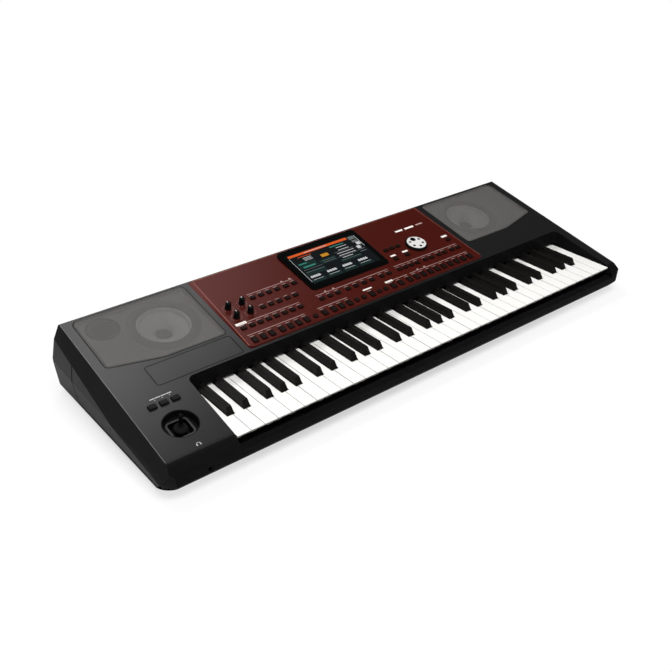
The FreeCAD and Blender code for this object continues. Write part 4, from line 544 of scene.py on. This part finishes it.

# %% [markdown]
# ## Second finishes of the case
# One moulding can carry several textures. The faces of the upper case that look along the deck's
# normal are satin, and all others are dull. Felt lines the floor and the walls of the two speaker
# recesses. The sides have a finish of their own, and where they stand upright a paler grey that is
# painted light. The groove down each side lies in shade, and its faces get a near-black colour that
# is painted shade. A narrow light strip along the side edges of the deck is a painted highlight. The
# sides and fronts of the white keys get a grey that is painted shade.

# %% Choosing faces
SIDE_FROM = 470.0
GROOVE_Y, GROOVE_TOP, GROOVE_LOW, GROOVE_HALF = 102.0, 84.0, 15.0, 1.3
BEND = 14.0


def finish_where(name, material, chosen):
    """Give the chosen faces of a CAD node one more finish: a list of faces, true where it goes."""
    mesh = nodes[name].data
    mesh.materials.append(material)
    index = np.zeros(len(mesh.polygons), int)
    mesh.polygons.foreach_get("material_index", index)
    mesh.polygons.foreach_set("material_index", np.where(chosen, len(mesh.materials) - 1, index).tolist())


def faces_of(name):
    """Middles in millimetres and normals of the faces of a CAD node."""
    polygons = nodes[name].data.polygons
    return (np.array([face.center[:] for face in polygons]) / MM,
            np.array([face.normal[:] for face in polygons]))


def in_groove(middles, normals):
    """Faces inside the side groove: near its upright run, its level run or the bend between them,
    and not facing the inside of the case."""
    x, y, z = middles.T
    upright = (np.abs(y - GROOVE_Y) < GROOVE_HALF) & (z > GROOVE_LOW + BEND) & (z < GROOVE_TOP + 1)
    level = (np.abs(z - GROOVE_LOW) < GROOVE_HALF) & (y < GROOVE_Y - BEND + GROOVE_HALF)
    way = np.hypot(y - GROOVE_Y - GROOVE_HALF + BEND, z - GROOVE_LOW + GROOVE_HALF - BEND)
    bend = np.abs(way - BEND + GROOVE_HALF) < GROOVE_HALF
    bend &= (y > GROOVE_Y - BEND) & (z < GROOVE_LOW + BEND)
    return (np.abs(x) > SIDE_FROM) & (normals[:, 0] * np.sign(x) > -0.5) & (upright | level | bend)


middles, normals = faces_of("upper_case")
print("faces of the upper case:", len(middles))

# %% Deck, speaker recesses and painted edge highlight
BAFFLE_DEPTH = -6.0
DECK_FACING = 0.98
WALL_FACING = 0.5
WALL_TOP = -1.0
RECESS_ROOM = 1.0
ON_BAFFLE = 0.05
ON_DECK = 0.02
HIGHLIGHT_WIDTH = 0.9
EDGE_SLACK = 0.5

deck_share = normals @ np.array([0, -SIN, COS])
finish_where("upper_case", flank_abs, deck_share < DECK_FACING)
places = to_deck(middles * MM)
across, depth = places[:, :2], places[:, 2]
lined = np.abs(depth - BAFFLE_DEPTH) < ON_BAFFLE
for name in GRILLES:
    corners = np.concatenate(islands(name))[:, :2]
    low, high = corners.min(0) - RECESS_ROOM, corners.max(0) + RECESS_ROOM
    inside = ((across > low) & (across < high)).all(1)
    lined |= inside & (deck_share < WALL_FACING) & (depth < WALL_TOP) & (depth > BAFFLE_DEPTH)
finish_where("upper_case", baffle_felt, lined)
corners = to_deck([corner.co[:] for corner in nodes["upper_case"].data.vertices])
corners = corners[np.abs(corners[:, 2]) < ON_DECK]
reach = np.abs(corners[:, 0]).max()
ends = corners[np.abs(corners[:, 0]) > reach - EDGE_SLACK][:, 1]
low, high = ends.min(), ends.max()
# A light strip along each side edge of the deck is a painted highlight.
flat("deck_edge_highlights", tiles([(-reach, -reach + HIGHLIGHT_WIDTH, low, high), (reach - HIGHLIGHT_WIDTH, reach, low, high)], INK),
     painted_edge_highlight)
print("felt faces:", int(lined.sum()), "deck reaches", round(reach, 1), "mm, edges from", low.round(1),
      "to", high.round(1))

# %% Key sides, case sides and groove
KEY_FACING = 0.9
SIDE_LEAN = 0.3
PAINTED_LIGHT_LEAN = 0.97

for name in WHITE_NOTES:
    facing = faces_of(name)[1]
    # Sides and fronts of the white keys take the painted shade.
    finish_where(name, painted_shade_key_side, (np.abs(facing[:, 0]) > KEY_FACING) | (facing[:, 1] < -KEY_FACING))
for name in ("upper_case", "lower_case"):
    middles, normals = faces_of(name)
    outer, lean = np.abs(middles[:, 0]) > SIDE_FROM, np.abs(normals[:, 0])
    finish_where(name, side_abs, outer & (lean > SIDE_LEAN))
    # Upright side walls take the painted light grey.
    finish_where(name, painted_light_wall, outer & (lean > PAINTED_LIGHT_LEAN))
    chosen = in_groove(middles, normals)
    # The groove faces take the painted shade.
    finish_where(name, painted_groove_shade, chosen)
    print(name, "faces:", len(chosen), "in the groove:", int(chosen.sum()))

# %% [markdown]
# ## Speakers behind the grilles
# Light that falls through the punched sheet shows what lies behind it. Each driver has a rolled
# rubber edge, a paper cone, a dust cap and a foam gasket, turned about the middle of its CAD solid. A
# flared ring lines the mouth of the left port, and felt covers the right one. A dark strip round each
# grille and round the hatch is painted shade for the gap there, and a thin light line along the edge
# of the red panel is a painted highlight.

# %% Drivers
AROUND = 144
ROLL, ROLL_RISE = 9.0, 4.0
CONE_LIFT = 4.0
CONE_POWER = 0.55
CAP_RADIUS, CAP_LIFT, CAP_RISE = 14.0, 1.5, 4.0
GASKET_REACH = 60.0
GASKET_LAP = 3.2


def turned(profile, ribs=1, depth=0.0):
    """Rings of a turned form: each row of the profile is a radius, a height and a share of the rib
    depth; the ribs are a cosine of the angle taken off the radius."""
    radius, height, share = np.asarray(profile, float).T[:, :, None]
    angle = np.linspace(0, 2 * np.pi, AROUND, endpoint=False)
    reach = radius - share * depth * (0.5 - 0.5 * np.cos(ribs * angle))
    return np.stack([reach * np.cos(angle), reach * np.sin(angle), height + 0 * angle], -1)


def plain(radius, height):
    """Profile without ribs from arrays of radii and heights."""
    return np.column_stack([radius, height, np.zeros(len(radius))])


rolls, papers, caps, gaskets = [], [], [], []
for solid in islands("woofer_cones"):
    low, high = solid.min(0), solid.max(0)
    place = middle_of(low, high)
    rim, top, deep = (high - low)[0] / 2, high[2], low[2] + CONE_LIFT
    turn = np.linspace(0, np.pi, 15)
    rolls.append(turned(plain(rim - ROLL / 2 + ROLL / 2 * np.cos(turn),
                              top - ROLL_RISE + ROLL_RISE * np.sin(turn))) + place)
    reach = np.linspace(rim - ROLL + 0.5, CAP_RADIUS - 1, 14)
    share = (reach - reach[-1]) / (reach[0] - reach[-1])
    papers.append(turned(plain(reach, deep + (top - ROLL_RISE - deep) * share ** CONE_POWER)) + place)
    reach = np.linspace(CAP_RADIUS, 0.2, 14)
    caps.append(turned(plain(reach, deep + CAP_LIFT + CAP_RISE * (1 - (reach / CAP_RADIUS) ** 2))) + place)
    reach = np.array([GASKET_REACH, GASKET_REACH - 0.5, rim - GASKET_LAP, rim - GASKET_LAP - 0.3])
    gaskets.append(turned(plain(reach, BAFFLE_DEPTH + np.array([0.05, 0.6, 0.6, -0.2]))) + place)
for name, rings, material, replaced in (("woofer_rolls", rolls, roll_rubber, None),
                                        ("woofer_papers", papers, cone_paper, "woofer_cones"),
                                        ("woofer_caps", caps, gasket_foam, None),
                                        ("woofer_gaskets", gaskets, gasket_foam, None)):
    points, faces = stacked(rings, ends=False)
    piece(name, to_case(points), faces, material, "case", replaced)
print("drivers:", len(caps), "rim radius", round(rim, 1))

# %% Edges of the plates
ON_TOP = 0.1
LEAST_STEP = 0.05
DIRECTIONS = 720


def top_corners(name):
    """Height of a plate's top in the deck frame, and the corners that lie there."""
    points = np.concatenate(islands(name))
    top = points[:, 2].max()
    return top, points[np.abs(points[:, 2] - top) < ON_TOP][:, :2]


def in_order(points):
    """Corners of an edge in order of the angle about their middle, each place only once."""
    way = points - (points.min(0) + points.max(0)) / 2
    points = points[np.argsort(np.arctan2(way[:, 1], way[:, 0]))]
    return points[np.hypot(*(points - np.roll(points, 1, 0)).T) > LEAST_STEP]


def hull(points):
    """Corners of a convex edge: the points that lie farthest out in each of many directions."""
    angle = np.linspace(0, 2 * np.pi, DIRECTIONS, endpoint=False)
    return points[np.unique(np.argmax(points @ np.stack([np.cos(angle), np.sin(angle)]), 0))]


def strip(edge, width, height):
    """Flat strip outside a closed edge: each corner moves out along the mean normal of its sides."""
    along = np.roll(edge, -1, 0) - np.roll(edge, 1, 0)
    out = np.column_stack([along[:, 1], -along[:, 0]]) / np.hypot(*along.T)[:, None]
    ring = np.stack([edge, edge + width * out])
    points = np.concatenate([ring, np.full((*ring.shape[:2], 1), height)], -1)
    count = len(edge)
    here, beside = np.arange(count), (np.arange(count) + 1) % count
    return points.reshape(-1, 3), np.stack([here, here + count, beside + count, beside], -1).tolist()


print("corners on top of the panel:", len(top_corners("control_panel")[1]))

# %% Ports, painted highlight of the panel and painted shade round the grilles
LEFT_PORT = (-434.0, 128.0, 0.0)
RIGHT_PORT = (434.0, 128.0, 0.0)
FLARE = plain(np.array([27.5, 27.0, 24.0, 20.5, 20.2]), BAFFLE_DEPTH + np.array([0.1, 0.6, 0.7, 0.3, -1.5]))
CLOTH = plain(np.array([21.0, 20.6, 0.1]), BAFFLE_DEPTH + np.array([0.05, 0.3, 0.3]))
PANEL_HIGHLIGHT = 0.9
HIGHLIGHT_START = 4.0
SHADE_STRIP, SHADE_STRIP_RISE = 1.5, 0.04

points, faces = stacked([turned(FLARE) + LEFT_PORT], ends=False)
piece("port_flares", to_case(points), faces, black_abs, "case")
form("port_cloth", turned(CLOTH) + RIGHT_PORT, baffle_felt, "case")
top, corners = top_corners("control_panel")
edge = in_order(hull(corners))
# A thin light line along the edge of the red panel is a painted highlight.
points, faces = strip(edge, -PANEL_HIGHLIGHT, top + INK)
faces = [face[::-1] for face in faces if points[face, 1].mean() > edge[:, 1].min() + HIGHLIGHT_START]
flat("control_panel_highlight", (points, faces), painted_highlight_lacquer)
# A black strip round each grille and round the hatch is painted shade for the gap there.
for name in GRILLES + ["hatch_cover"]:
    top, corners = top_corners(name)
    edge = in_order(corners)
    flat(name + "_shade_strip", strip(edge, SHADE_STRIP, SHADE_STRIP_RISE), black_abs)
    print(name, "top at", round(float(top), 2), "edge points:", len(edge))

# %% [markdown]
# ## Joystick
# A rubber boot closes the hole under the stick and tilts with it, a grey ring trims the hole, and the
# stick ends in a rounded tip.

# %% Boot, trim ring and tip
STICK = np.array([-434.65, -114.3, 0.0])
WELL_FLOOR = -10.0
BOOT = plain(np.array([11, 11, 10.6, 9.4, 7.4, 5.4, 4.2, 3.6, 3.3, 3.1]),
             np.array([-11, -10.2, -9, -7.4, -6.2, -5.4, -4.4, -2.8, -1, 0]))
TIP = plain(np.array([3.1, 3.1, 3.2, 3.4, 3.4, 3.1, 2.4, 1.3, 0.1]),
            np.array([0, 8, 12, 14.5, 16, 17.2, 18, 18.4, 18.5]))
TRIM_HALF, TRIM_CORNER, TRIM_WIDTH, TRIM_RISE = 15.0, 5.0, 3.2, 0.05

form("joystick_boot", turned(BOOT) + STICK, rubber, "joystick_stick")
form("joystick_tip", turned(TIP) + STICK, black_abs, "joystick_stick")
hole = rounded_ring(TRIM_HALF, TRIM_HALF, TRIM_CORNER) + STICK[:2]
flat("joystick_trim", strip(hole, TRIM_WIDTH, WELL_FLOOR + TRIM_RISE), trim_abs)
print("boot radius", BOOT[0, 0], "mm, tip at", TIP[-1, 1], "mm above the deck")

# %% [markdown]
# ## Buttons
# The buttons are small plastic caps with rounded corners and a top that sinks under the fingertip.
# The CAD solid of each gives its middle and its size; a new cap with a rolled edge takes its place.

# %% Button caps
BUTTON_GROUPS = ["upper_left_buttons", "middle_left_buttons", "middle_centre_buttons",
                 "middle_right_buttons", "lower_left_buttons", "lower_centre_buttons",
                 "lower_right_buttons", "small_buttons"]
BUTTON_FOOT = 1.0
CAP_LOW = 0.2
CAP_CORNER, CORNER_SHARE = 1.6, 0.8
CAP_FILLET, FILLET_SHARE = 0.7, 0.6


def cap_of(solid):
    """Rings of the cap that covers the part of a button solid standing above the deck."""
    low, high = standing(solid, BUTTON_FOOT)
    x, y, _ = middle_of(low, high)
    half_x, half_y, _ = (high - low) / 2
    corner = min(CAP_CORNER, CORNER_SHARE * min(half_x, half_y))
    return cap_rings(x, y, half_x, half_y, corner, CAP_LOW, high[2], min(CAP_FILLET, FILLET_SHARE * corner))


cap_places = {}
for group in BUTTON_GROUPS:
    caps = [cap_of(solid) for solid in islands(group)]
    cap_places[group] = np.array([[*cap[0].min(0)[:2], *cap[0].max(0)[:2]] for cap in caps])
    points, faces = stacked(caps)
    piece(group + "_caps", to_case(points), faces, cap_abs, group, group)
print("caps in each group:", [len(places) for places in cap_places.values()])

# %% [markdown]
# ## Knobs and the value dial
# The four knobs are fluted so that fingers grip them, and each carries a white pointer. The dial is
# a wide black disc with a ribbed edge, and its silver face has a dimple for one fingertip and five
# round marks. Both are turned profiles whose radius changes a little with the angle, which a lathe
# can't do but a formula can.

# %% Knobs
KNOBS = ["knob_1", "knob_2", "knob_3", "knob_4"]
KNOB_FOOT = 2.7
FLUTES = 18
FLUTE_DEPTH = 0.35
POINTER_HALF = 0.45
POINTER_END = 1.2

knob_middles = []
for name in KNOBS:
    low, high = standing(islands(name)[0], KNOB_FOOT)
    middle = middle_of(low, high)
    radius, top = (high - low)[0] / 2, high[2]
    profile = [(radius, low[2], 0), (radius, low[2] + 1.2, 0), (radius - 0.3, low[2] + 1.6, 0.2),
               (radius - 0.4, low[2] + 2.4, 1), (radius - 0.8, top - 0.9, 1),
               (radius - 1.0, top - 0.3, 0.5), (radius - 1.4, top, 0), (radius * 0.4, top - 0.15, 0),
               (0.2, top - 0.2, 0)]
    grip = turned(profile, FLUTES, FLUTE_DEPTH) + middle
    form(name + "_grip", grip, black_abs, name, name)
    x, y, _ = middle
    pointer = (x - POINTER_HALF, x + POINTER_HALF, y + POINTER_END, y + radius - POINTER_END)
    flat(name + "_pointer", tiles([pointer], top + INK), white_print, name)
    knob_middles.append((x, y))
print("knobs:", len(knob_middles), "radius", round(radius, 2))

# %% Value dial
DIAL_RIBS = 72
RIB_DEPTH = 0.3
FACE_DROP = 1.6
FACE_RADIUS, FACE_RISE = 18.8, 0.5
DIMPLE_RADIUS, DIMPLE_WAY, DIMPLE_DEPTH, DIMPLE_RISE = 5.6, 10.6, 1.3, 0.55
MARK_RADIUS, MARK_WAY, MARK_RISE = 2.7, 12.5, 0.52
MARK_TURNS = np.radians([30, 150, 210, 270, 330])


def dimpled(points, middle):
    """Sink the top of the dial round the dimple's middle by a cosine bell of the dimple's depth."""
    way = np.hypot(points[..., 0] - middle[0], points[..., 1] - middle[1] - DIMPLE_WAY)
    bell = 0.5 + 0.5 * np.cos(np.pi * np.minimum(way / DIMPLE_RADIUS, 1.0))
    sunk = points.copy()
    sunk[..., 2] -= DIMPLE_DEPTH * bell
    return sunk


low, high = standing(islands("value_dial")[0], KNOB_FOOT)
dial_middle = middle_of(low, high)
dial_radius, dial_top = (high - low)[0] / 2, high[2] - FACE_DROP
profile = [(dial_radius, low[2], 0), (dial_radius, low[2] + 0.8, 0), (dial_radius - 0.1, low[2] + 1.1, 1),
           (dial_radius - 0.6, dial_top - 1.6, 1), (dial_radius - 1.4, dial_top - 0.5, 0.4),
           (FACE_RADIUS + 0.2, dial_top, 0), (FACE_RADIUS - 0.5, dial_top - 0.1, 0)]
rim = turned(profile, DIAL_RIBS, RIB_DEPTH) + dial_middle
form("value_dial_rim", rim, black_abs, "value_dial", "value_dial")
reach = np.linspace(FACE_RADIUS, 0.15, 32)
lift = dial_top + FACE_RISE - 0.4 * (reach / FACE_RADIUS) ** 8
face = dimpled(turned(plain(reach, lift)) + dial_middle, dial_middle)
form("value_dial_face", face, dial_silver, "value_dial")
reach = np.linspace(DIMPLE_RADIUS, 0.1, 10)
pad = turned(plain(reach, 0 * reach + dial_top + DIMPLE_RISE)) + dial_middle + (0, DIMPLE_WAY, 0)
form("value_dial_dimple", dimpled(pad, dial_middle), black_abs, "value_dial")
mark = turned(plain(np.array([MARK_RADIUS, 0.1]), np.zeros(2))) + dial_middle
ways = [(MARK_WAY * math.cos(turn), MARK_WAY * math.sin(turn), dial_top + MARK_RISE) for turn in MARK_TURNS]
flat("value_dial_marks", stacked([mark + way for way in ways]), black_abs, "value_dial")
print("dial radius", round(dial_radius, 2), "face at", round(dial_top + FACE_RISE, 2))

# %% [markdown]
# ## Print on the panel
# Each button has a line of small white print above it, a thin rule joins the buttons of a run, a few
# buttons have a small mark above the rule, and a few places carry a solid white block. From this
# distance the print is a row of thin dashes, so it is drawn as dashes: nothing on this part is
# lettered. The dashes lie three hundredths of a millimetre above the lacquer, as ink does.

# %% Panel print
PANEL_TOP = 2.5
BLOCKS = [(-253.5, -233.5, 22.0, 28.0), (233.5, 247.5, 51.6, 56.6), (40.0, 57.0, -7.2, -2.8),
          (-10.0, 10.0, -4.8, -1.8), (101.5, 113.5, 49.8, 54.0), (130.5, 143.5, 49.8, 54.2),
          (163.0, 181.0, 107.4, 112.0), (187.0, 209.0, 107.0, 112.0)]
RULE_RISE = 7.6
RULE_HIGH = 0.9
RUN_GAP = 16.0
PICTOGRAMS = {"upper_left_buttons": (-2, -1), "middle_centre_buttons": (1, 2),
              "lower_right_buttons": (1, 2)}
PICTOGRAM_RISE, PICTOGRAM_HALF, PICTOGRAM_HIGH = 9.5, 2.0, 2.6
DASH_RISE = 3.2
DASH_HIGH = 0.8
DASH_SHARE = 0.42
FAINT_BLOCK = (216.0, 233.0, 108.6, 111.6)

dashes, rules = [], [FAINT_BLOCK]
for group in BUTTON_GROUPS[:-1]:
    for x0, y0, x1, y1 in cap_places[group]:
        middle, reach = (x0 + x1) / 2, DASH_SHARE * (x1 - x0)
        dashes.append((middle - reach, middle + reach, y1 + DASH_RISE, y1 + DASH_RISE + DASH_HIGH))
    order = cap_places[group][np.argsort(cap_places[group][:, 0])]
    ends = np.flatnonzero(np.append(order[1:, 0] - order[:-1, 2] > RUN_GAP, True))
    for first, last in zip(np.append(0, ends[:-1] + 1), ends):
        y = order[first:last + 1, 3].max() + RULE_RISE
        rules.append((order[first, 0], order[last, 2], y, y + RULE_HIGH))
    for x0, y0, x1, y1 in order[list(PICTOGRAMS.get(group, ()))]:
        middle, y = (x0 + x1) / 2, y1 + PICTOGRAM_RISE
        rules.append((middle - PICTOGRAM_HALF, middle + PICTOGRAM_HALF, y, y + PICTOGRAM_HIGH))
flat("panel_legends", tiles(dashes + rules, PANEL_TOP + INK), faded_print)
flat("panel_blocks", tiles(BLOCKS, PANEL_TOP + INK), white_print)
print("dashes:", len(dashes), "rules:", len(rules), "blocks:", len(BLOCKS))

# %% Knob scales and the signs on the deck
SCALE_INNER, SCALE_OUTER = 8.2, 9.6
TICK_TURNS = np.radians(np.linspace(-60, 240, 11))
TICK_HALF = 0.03
SIGN_MIDDLE = (-433.0, -160.0)
ARCH_INNER, ARCH_OUTER = 2.5, 3.2
CUP_IN, CUP_OUT, CUP_HIGH = 2.1, 3.6, 2.6
SWITCH_RULES = [(x, x + 8.0, -52.9, -51.5) for x in (-450.0, -441.0, -432.0, -423.0)]
SWITCH_DOTS = [(x, x + 1.2, -56.4, -55.2) for x in (-444.0, -432.0, -420.0)]


def band(middle, inner, outer, first, last, steps, height):
    """Flat arc between two radii and two angles: two rows of points on circles, joined by quads."""
    angle = np.linspace(first, last, steps)
    way = np.stack([np.cos(angle), np.sin(angle), 0 * angle], -1)
    points = np.concatenate([way * inner, way * outer]) + (*middle, height)
    low = np.arange(steps - 1)
    return points, np.stack([low, low + steps, low + steps + 1, low + 1], -1).tolist()


ticks = [band(middle, SCALE_INNER, SCALE_OUTER, turn - TICK_HALF, turn + TICK_HALF, 2, PANEL_TOP + INK)
         for middle in knob_middles for turn in TICK_TURNS]
flat("knob_scales", joined(ticks), faded_print)
x, y = SIGN_MIDDLE
arch = band(SIGN_MIDDLE, ARCH_INNER, ARCH_OUTER, 0, np.pi, 15, INK)
cups = [(x - CUP_OUT, x - CUP_IN, y - CUP_HIGH, y), (x + CUP_IN, x + CUP_OUT, y - CUP_HIGH, y)]
signs = tiles(cups + SWITCH_RULES + SWITCH_DOTS, INK)
flat("deck_signs", joined([arch, signs]), grey_print)
print("scale ticks:", len(ticks))

# %% [markdown]
# ## The lit screen
# The touch screen shows a page: a bar across the top, lists on both sides, a column of icons and
# four groups of figures below. The page is drawn in the plane of the glass, which leans a little
# more than the deck, as thin tiles that glow.

# %% Screen page
SCREEN_FRONT = (36.8, 3.5)
SCREEN_TILT = math.atan2(4.0, 115.6)
GLASS_TOP = 0.8
LAYER = 0.02
FIGURES = (-60, -24, 11, 47)
FIGURE_STEP = 5.2


def to_glass(points):
    """Screen plane to the deck frame: u stays, s runs up the glass and h stands out of it."""
    u, s, h = np.moveaxis(np.asarray(points, float), -1, 0)
    cos, sin = math.cos(SCREEN_TILT), math.sin(SCREEN_TILT)
    return np.stack([u, SCREEN_FRONT[0] + s * cos - h * sin, SCREEN_FRONT[1] + s * sin + h * cos], -1)


def page(name, boxes, material, layer):
    """Tiles of one colour on the glass, each layer two hundredths of a millimetre above the last."""
    points, faces = tiles(boxes, GLASS_TOP + LAYER * layer)
    flat(name, (to_glass(points), faces), material)


def lines(u0, u1, places, high=1.6):
    """Rows of text seen from afar: one long tile for each place up the page."""
    return [(u0, u1, s - high / 2, s + high / 2) for s in places]


page("screen_ground", [(-77, 77, 14, 100)], glow_ground, 1)
page("screen_fields", [(-72, -30, 36, 48), (-30, 6, 52, 64), (-72, -34, 56, 72), (8, 54, 40, 48)]
     + [(u - 15, u + 15, 16, 25) for u in FIGURES], glow_green, 2)
page("screen_bar", [(-75, 58, 92, 98)] + lines(-60, -30, [87], 1.2), glow_orange, 3)
page("screen_titles", lines(-40, 10, [95], 1.2) + lines(-52, -34, [82, 78.5, 75], 1.2)
     + lines(22, 46, [80, 72.5], 1.4) + lines(14, 52, [64.5, 58], 1.4) + lines(16, 40, [51], 1.4)
     + [(-76.4, -75.6, 20, 90), (76, 77, 62, 97), (66, 75, 70, 78), (60, 68, 60, 68)], glow_white, 4)
page("screen_marks", lines(-70, -52, [69], 3.0) + lines(-66, -40, [59], 4.0) + lines(12, 44, [86.5], 2.6),
     glow_teal, 3)
page("screen_block", [(-17, -1, 69, 77)], glow_amber, 3)
page("screen_icons", [(61, 74, 88, 97), (62, 74, 79, 85)] + lines(-70, -30, [52, 45], 0.9)
     + lines(-24, 4, [60, 55], 0.9) + lines(10, 54, [69, 55, 45], 0.8)
     + lines(58, 72, [66, 57, 51], 1.6), glow_grey, 3)
starts = [u - 10 + FIGURE_STEP * step for u in FIGURES for step in range(4)]
rows = [(u - 11, u + 11, low, high) for low, high in ((22.4, 23.2), (29.8, 31.6)) for u in FIGURES]
page("screen_figures", [(u, u + 4, 28.5, 34) for u in starts] + rows, glow_white, 4)
print("the glass leans", round(math.degrees(SCREEN_TILT), 1), "degrees more than the deck")

# %% [markdown]
# ## Under the case
# Pan-head screws hold the lower case to the upper one. Each head is a low dome with a cross cut in
# it: a grid of rings whose height falls where the cross is.

# %% Case screws
SCREW_RADIUS, SCREW_RISE = 3.2, 1.4
CROSS_HALF, CROSS_REACH, CROSS_DEPTH = 0.5, 1.9, 0.9
SCREW_PLACES = [(x, y) for x in (-455.0, -230.0, 0.0, 230.0, 455.0) for y in (-148.0, 140.0)]
CASE_UNDERSIDE = 10.0


def screw_head(x, y):
    """Rings of a dome, one minus the square of the radius, with a cross sunk into it."""
    reach = np.linspace(1.0, 0.04, 14)[:, None] * SCREW_RADIUS
    angle = np.linspace(0, 2 * np.pi, 48, endpoint=False)
    across, along = reach * np.cos(angle), reach * np.sin(angle)
    dome = SCREW_RISE * (1 - (reach / SCREW_RADIUS) ** 2) + 0 * angle
    narrow = np.minimum(np.abs(across), np.abs(along)) < CROSS_HALF
    cross = narrow & (np.hypot(across, along) < CROSS_REACH)
    return np.stack([x + across, y - along, CASE_UNDERSIDE - dome + CROSS_DEPTH * cross], -1)


points, faces = stacked([screw_head(x, y) for x, y in SCREW_PLACES])
piece("case_screws", points * MM, faces, steel, "case")
print("screws:", len(SCREW_PLACES))

# %% [markdown]
# ## Floor and studio light
# The floor is white paper that runs out of the picture; near the object it takes its shadow, and
# farther off the camera sees plain white. A large softbox hangs above and behind, and its soft
# reflection on the satin deck fades from left to right, which is what shows the slope. A smaller one
# beside it lights the red panel, and a third box in front fills the keys. In gloss the room shows
# white near the floor and dark overhead, so that edges have something to mirror, while dull surfaces
# get a weak even fill from all round. Camera rays that miss everything see plain white.

# %% Floor
FLOOR_HALF, FLOOR_CORNER = 12.0, 2.0
FLOOR_HEIGHT = -0.0002

floor_paper, shader, place = start("white paper sweep", "#fafafa", 0.9)
fibre = add(floor_paper, "ShaderNodeTexNoise", {"Scale": per_mm(3.0), "Detail": 2.0}, {"Vector": place})
bump = add(floor_paper, "ShaderNodeBump", {"Strength": 0.05, "Distance": 0.1 * MM},
           {"Height": fibre.outputs["Fac"]})
feed(shader, {"Normal": bump.outputs["Normal"]})
oval = add(floor_paper, "ShaderNodeMapping", {"Scale": (0.6, 1.2, 1)}, {"Vector": place})
way = add(floor_paper, "ShaderNodeVectorMath", links={0: oval.outputs["Vector"]}, operation="LENGTH")
afar = add(floor_paper, "ShaderNodeMapRange", {"From Min": 0.25, "From Max": 0.6, "To Min": 0.6},
           {"Value": way.outputs["Value"]})
ray = add(floor_paper, "ShaderNodeLightPath").outputs["Is Camera Ray"]
share = add(floor_paper, "ShaderNodeMath", links={0: afar.outputs["Result"], 1: ray}, operation="MULTIPLY")
white = add(floor_paper, "ShaderNodeEmission", {"Strength": 1.0})
blend = add(floor_paper, "ShaderNodeMixShader",
            links={0: share.outputs[0], 1: shader.outputs[0], 2: white.outputs[0]})
feed(floor_paper.node_tree.nodes["Material Output"], {"Surface": blend.outputs[0]})
ring = raised(rounded_ring(FLOOR_HALF, FLOOR_HALF, FLOOR_CORNER), FLOOR_HEIGHT)
sweep = bpy.data.meshes.new("floor")
sweep.from_pydata(ring.tolist(), [], [list(range(len(ring)))])
sweep.materials.append(floor_paper)
floor = bpy.data.objects.new("floor", sweep)
bpy.context.collection.objects.link(floor)
print("floor is", 2 * FLOOR_HALF, "m wide")


# %% Lamps
def softbox(name, place, target, width, depth, watts):
    """Rectangular lamp of the given size in metres, turned from its place to its target."""
    lamp = bpy.data.lights.new(name, "AREA")
    lamp.shape = "RECTANGLE"
    lamp.size = width
    lamp.size_y = depth
    lamp.energy = watts
    made = bpy.data.objects.new(name, lamp)
    made.location = place
    made.rotation_euler = (Vector(target) - Vector(place)).to_track_quat("-Z", "Y").to_euler()
    bpy.context.collection.objects.link(made)
    return made


softbox("overhead_softbox", (-0.2, 1.08, 1.65), (-0.25, 0.1, 0.1), 1.0, 0.6, 12)
softbox("front_softbox", (-0.3, -1.0, 2.6), (0.0, 0.0, 0.05), 2.2, 1.4, 64)
softbox("rim_softbox", (0.62, 1.2, 1.65), (-0.2, 0.1, 0.1), 0.35, 0.5, 3.2)

# %% Room light
ROOM_FILL = 0.3

world = bpy.data.worlds.new("studio")
bpy.context.scene.world = world
world.use_nodes = True
ground = world.node_tree.nodes["Background"]
path = add(world, "ShaderNodeLightPath").outputs
place = add(world, "ShaderNodeTexCoord").outputs["Generated"]
height = add(world, "ShaderNodeSeparateXYZ", links={0: place})
fade = add(world, "ShaderNodeMapRange", {"From Min": 0.0, "From Max": 0.18, "To Min": 1.0, "To Max": 0.05},
           {"Value": height.outputs["Z"]})
shine = add(world, "ShaderNodeMath", links={0: path["Is Glossy Ray"], 1: path["Is Transmission Ray"]},
            operation="MAXIMUM")
shown = add(world, "ShaderNodeMath", links={0: shine.outputs[0], 1: fade.outputs["Result"]},
            operation="MULTIPLY")
seen = add(world, "ShaderNodeMath", links={0: shown.outputs[0], 1: path["Is Camera Ray"]},
           operation="MAXIMUM")
dull = add(world, "ShaderNodeMath", {0: 1.0}, {1: shine.outputs[0]}, operation="SUBTRACT")
fill = add(world, "ShaderNodeMath", {1: ROOM_FILL}, {0: dull.outputs[0]}, operation="MULTIPLY")
level = add(world, "ShaderNodeMath", links={0: seen.outputs[0], 1: fill.outputs[0]}, operation="MAXIMUM")
feed(ground, {"Strength": level.outputs[0]})
ground.inputs["Color"].default_value = (1.0, 1.0, 1.0, 1.0)
bpy.context.scene.view_settings.view_transform = "Standard"
print("fill of the room on dull surfaces:", ROOM_FILL)
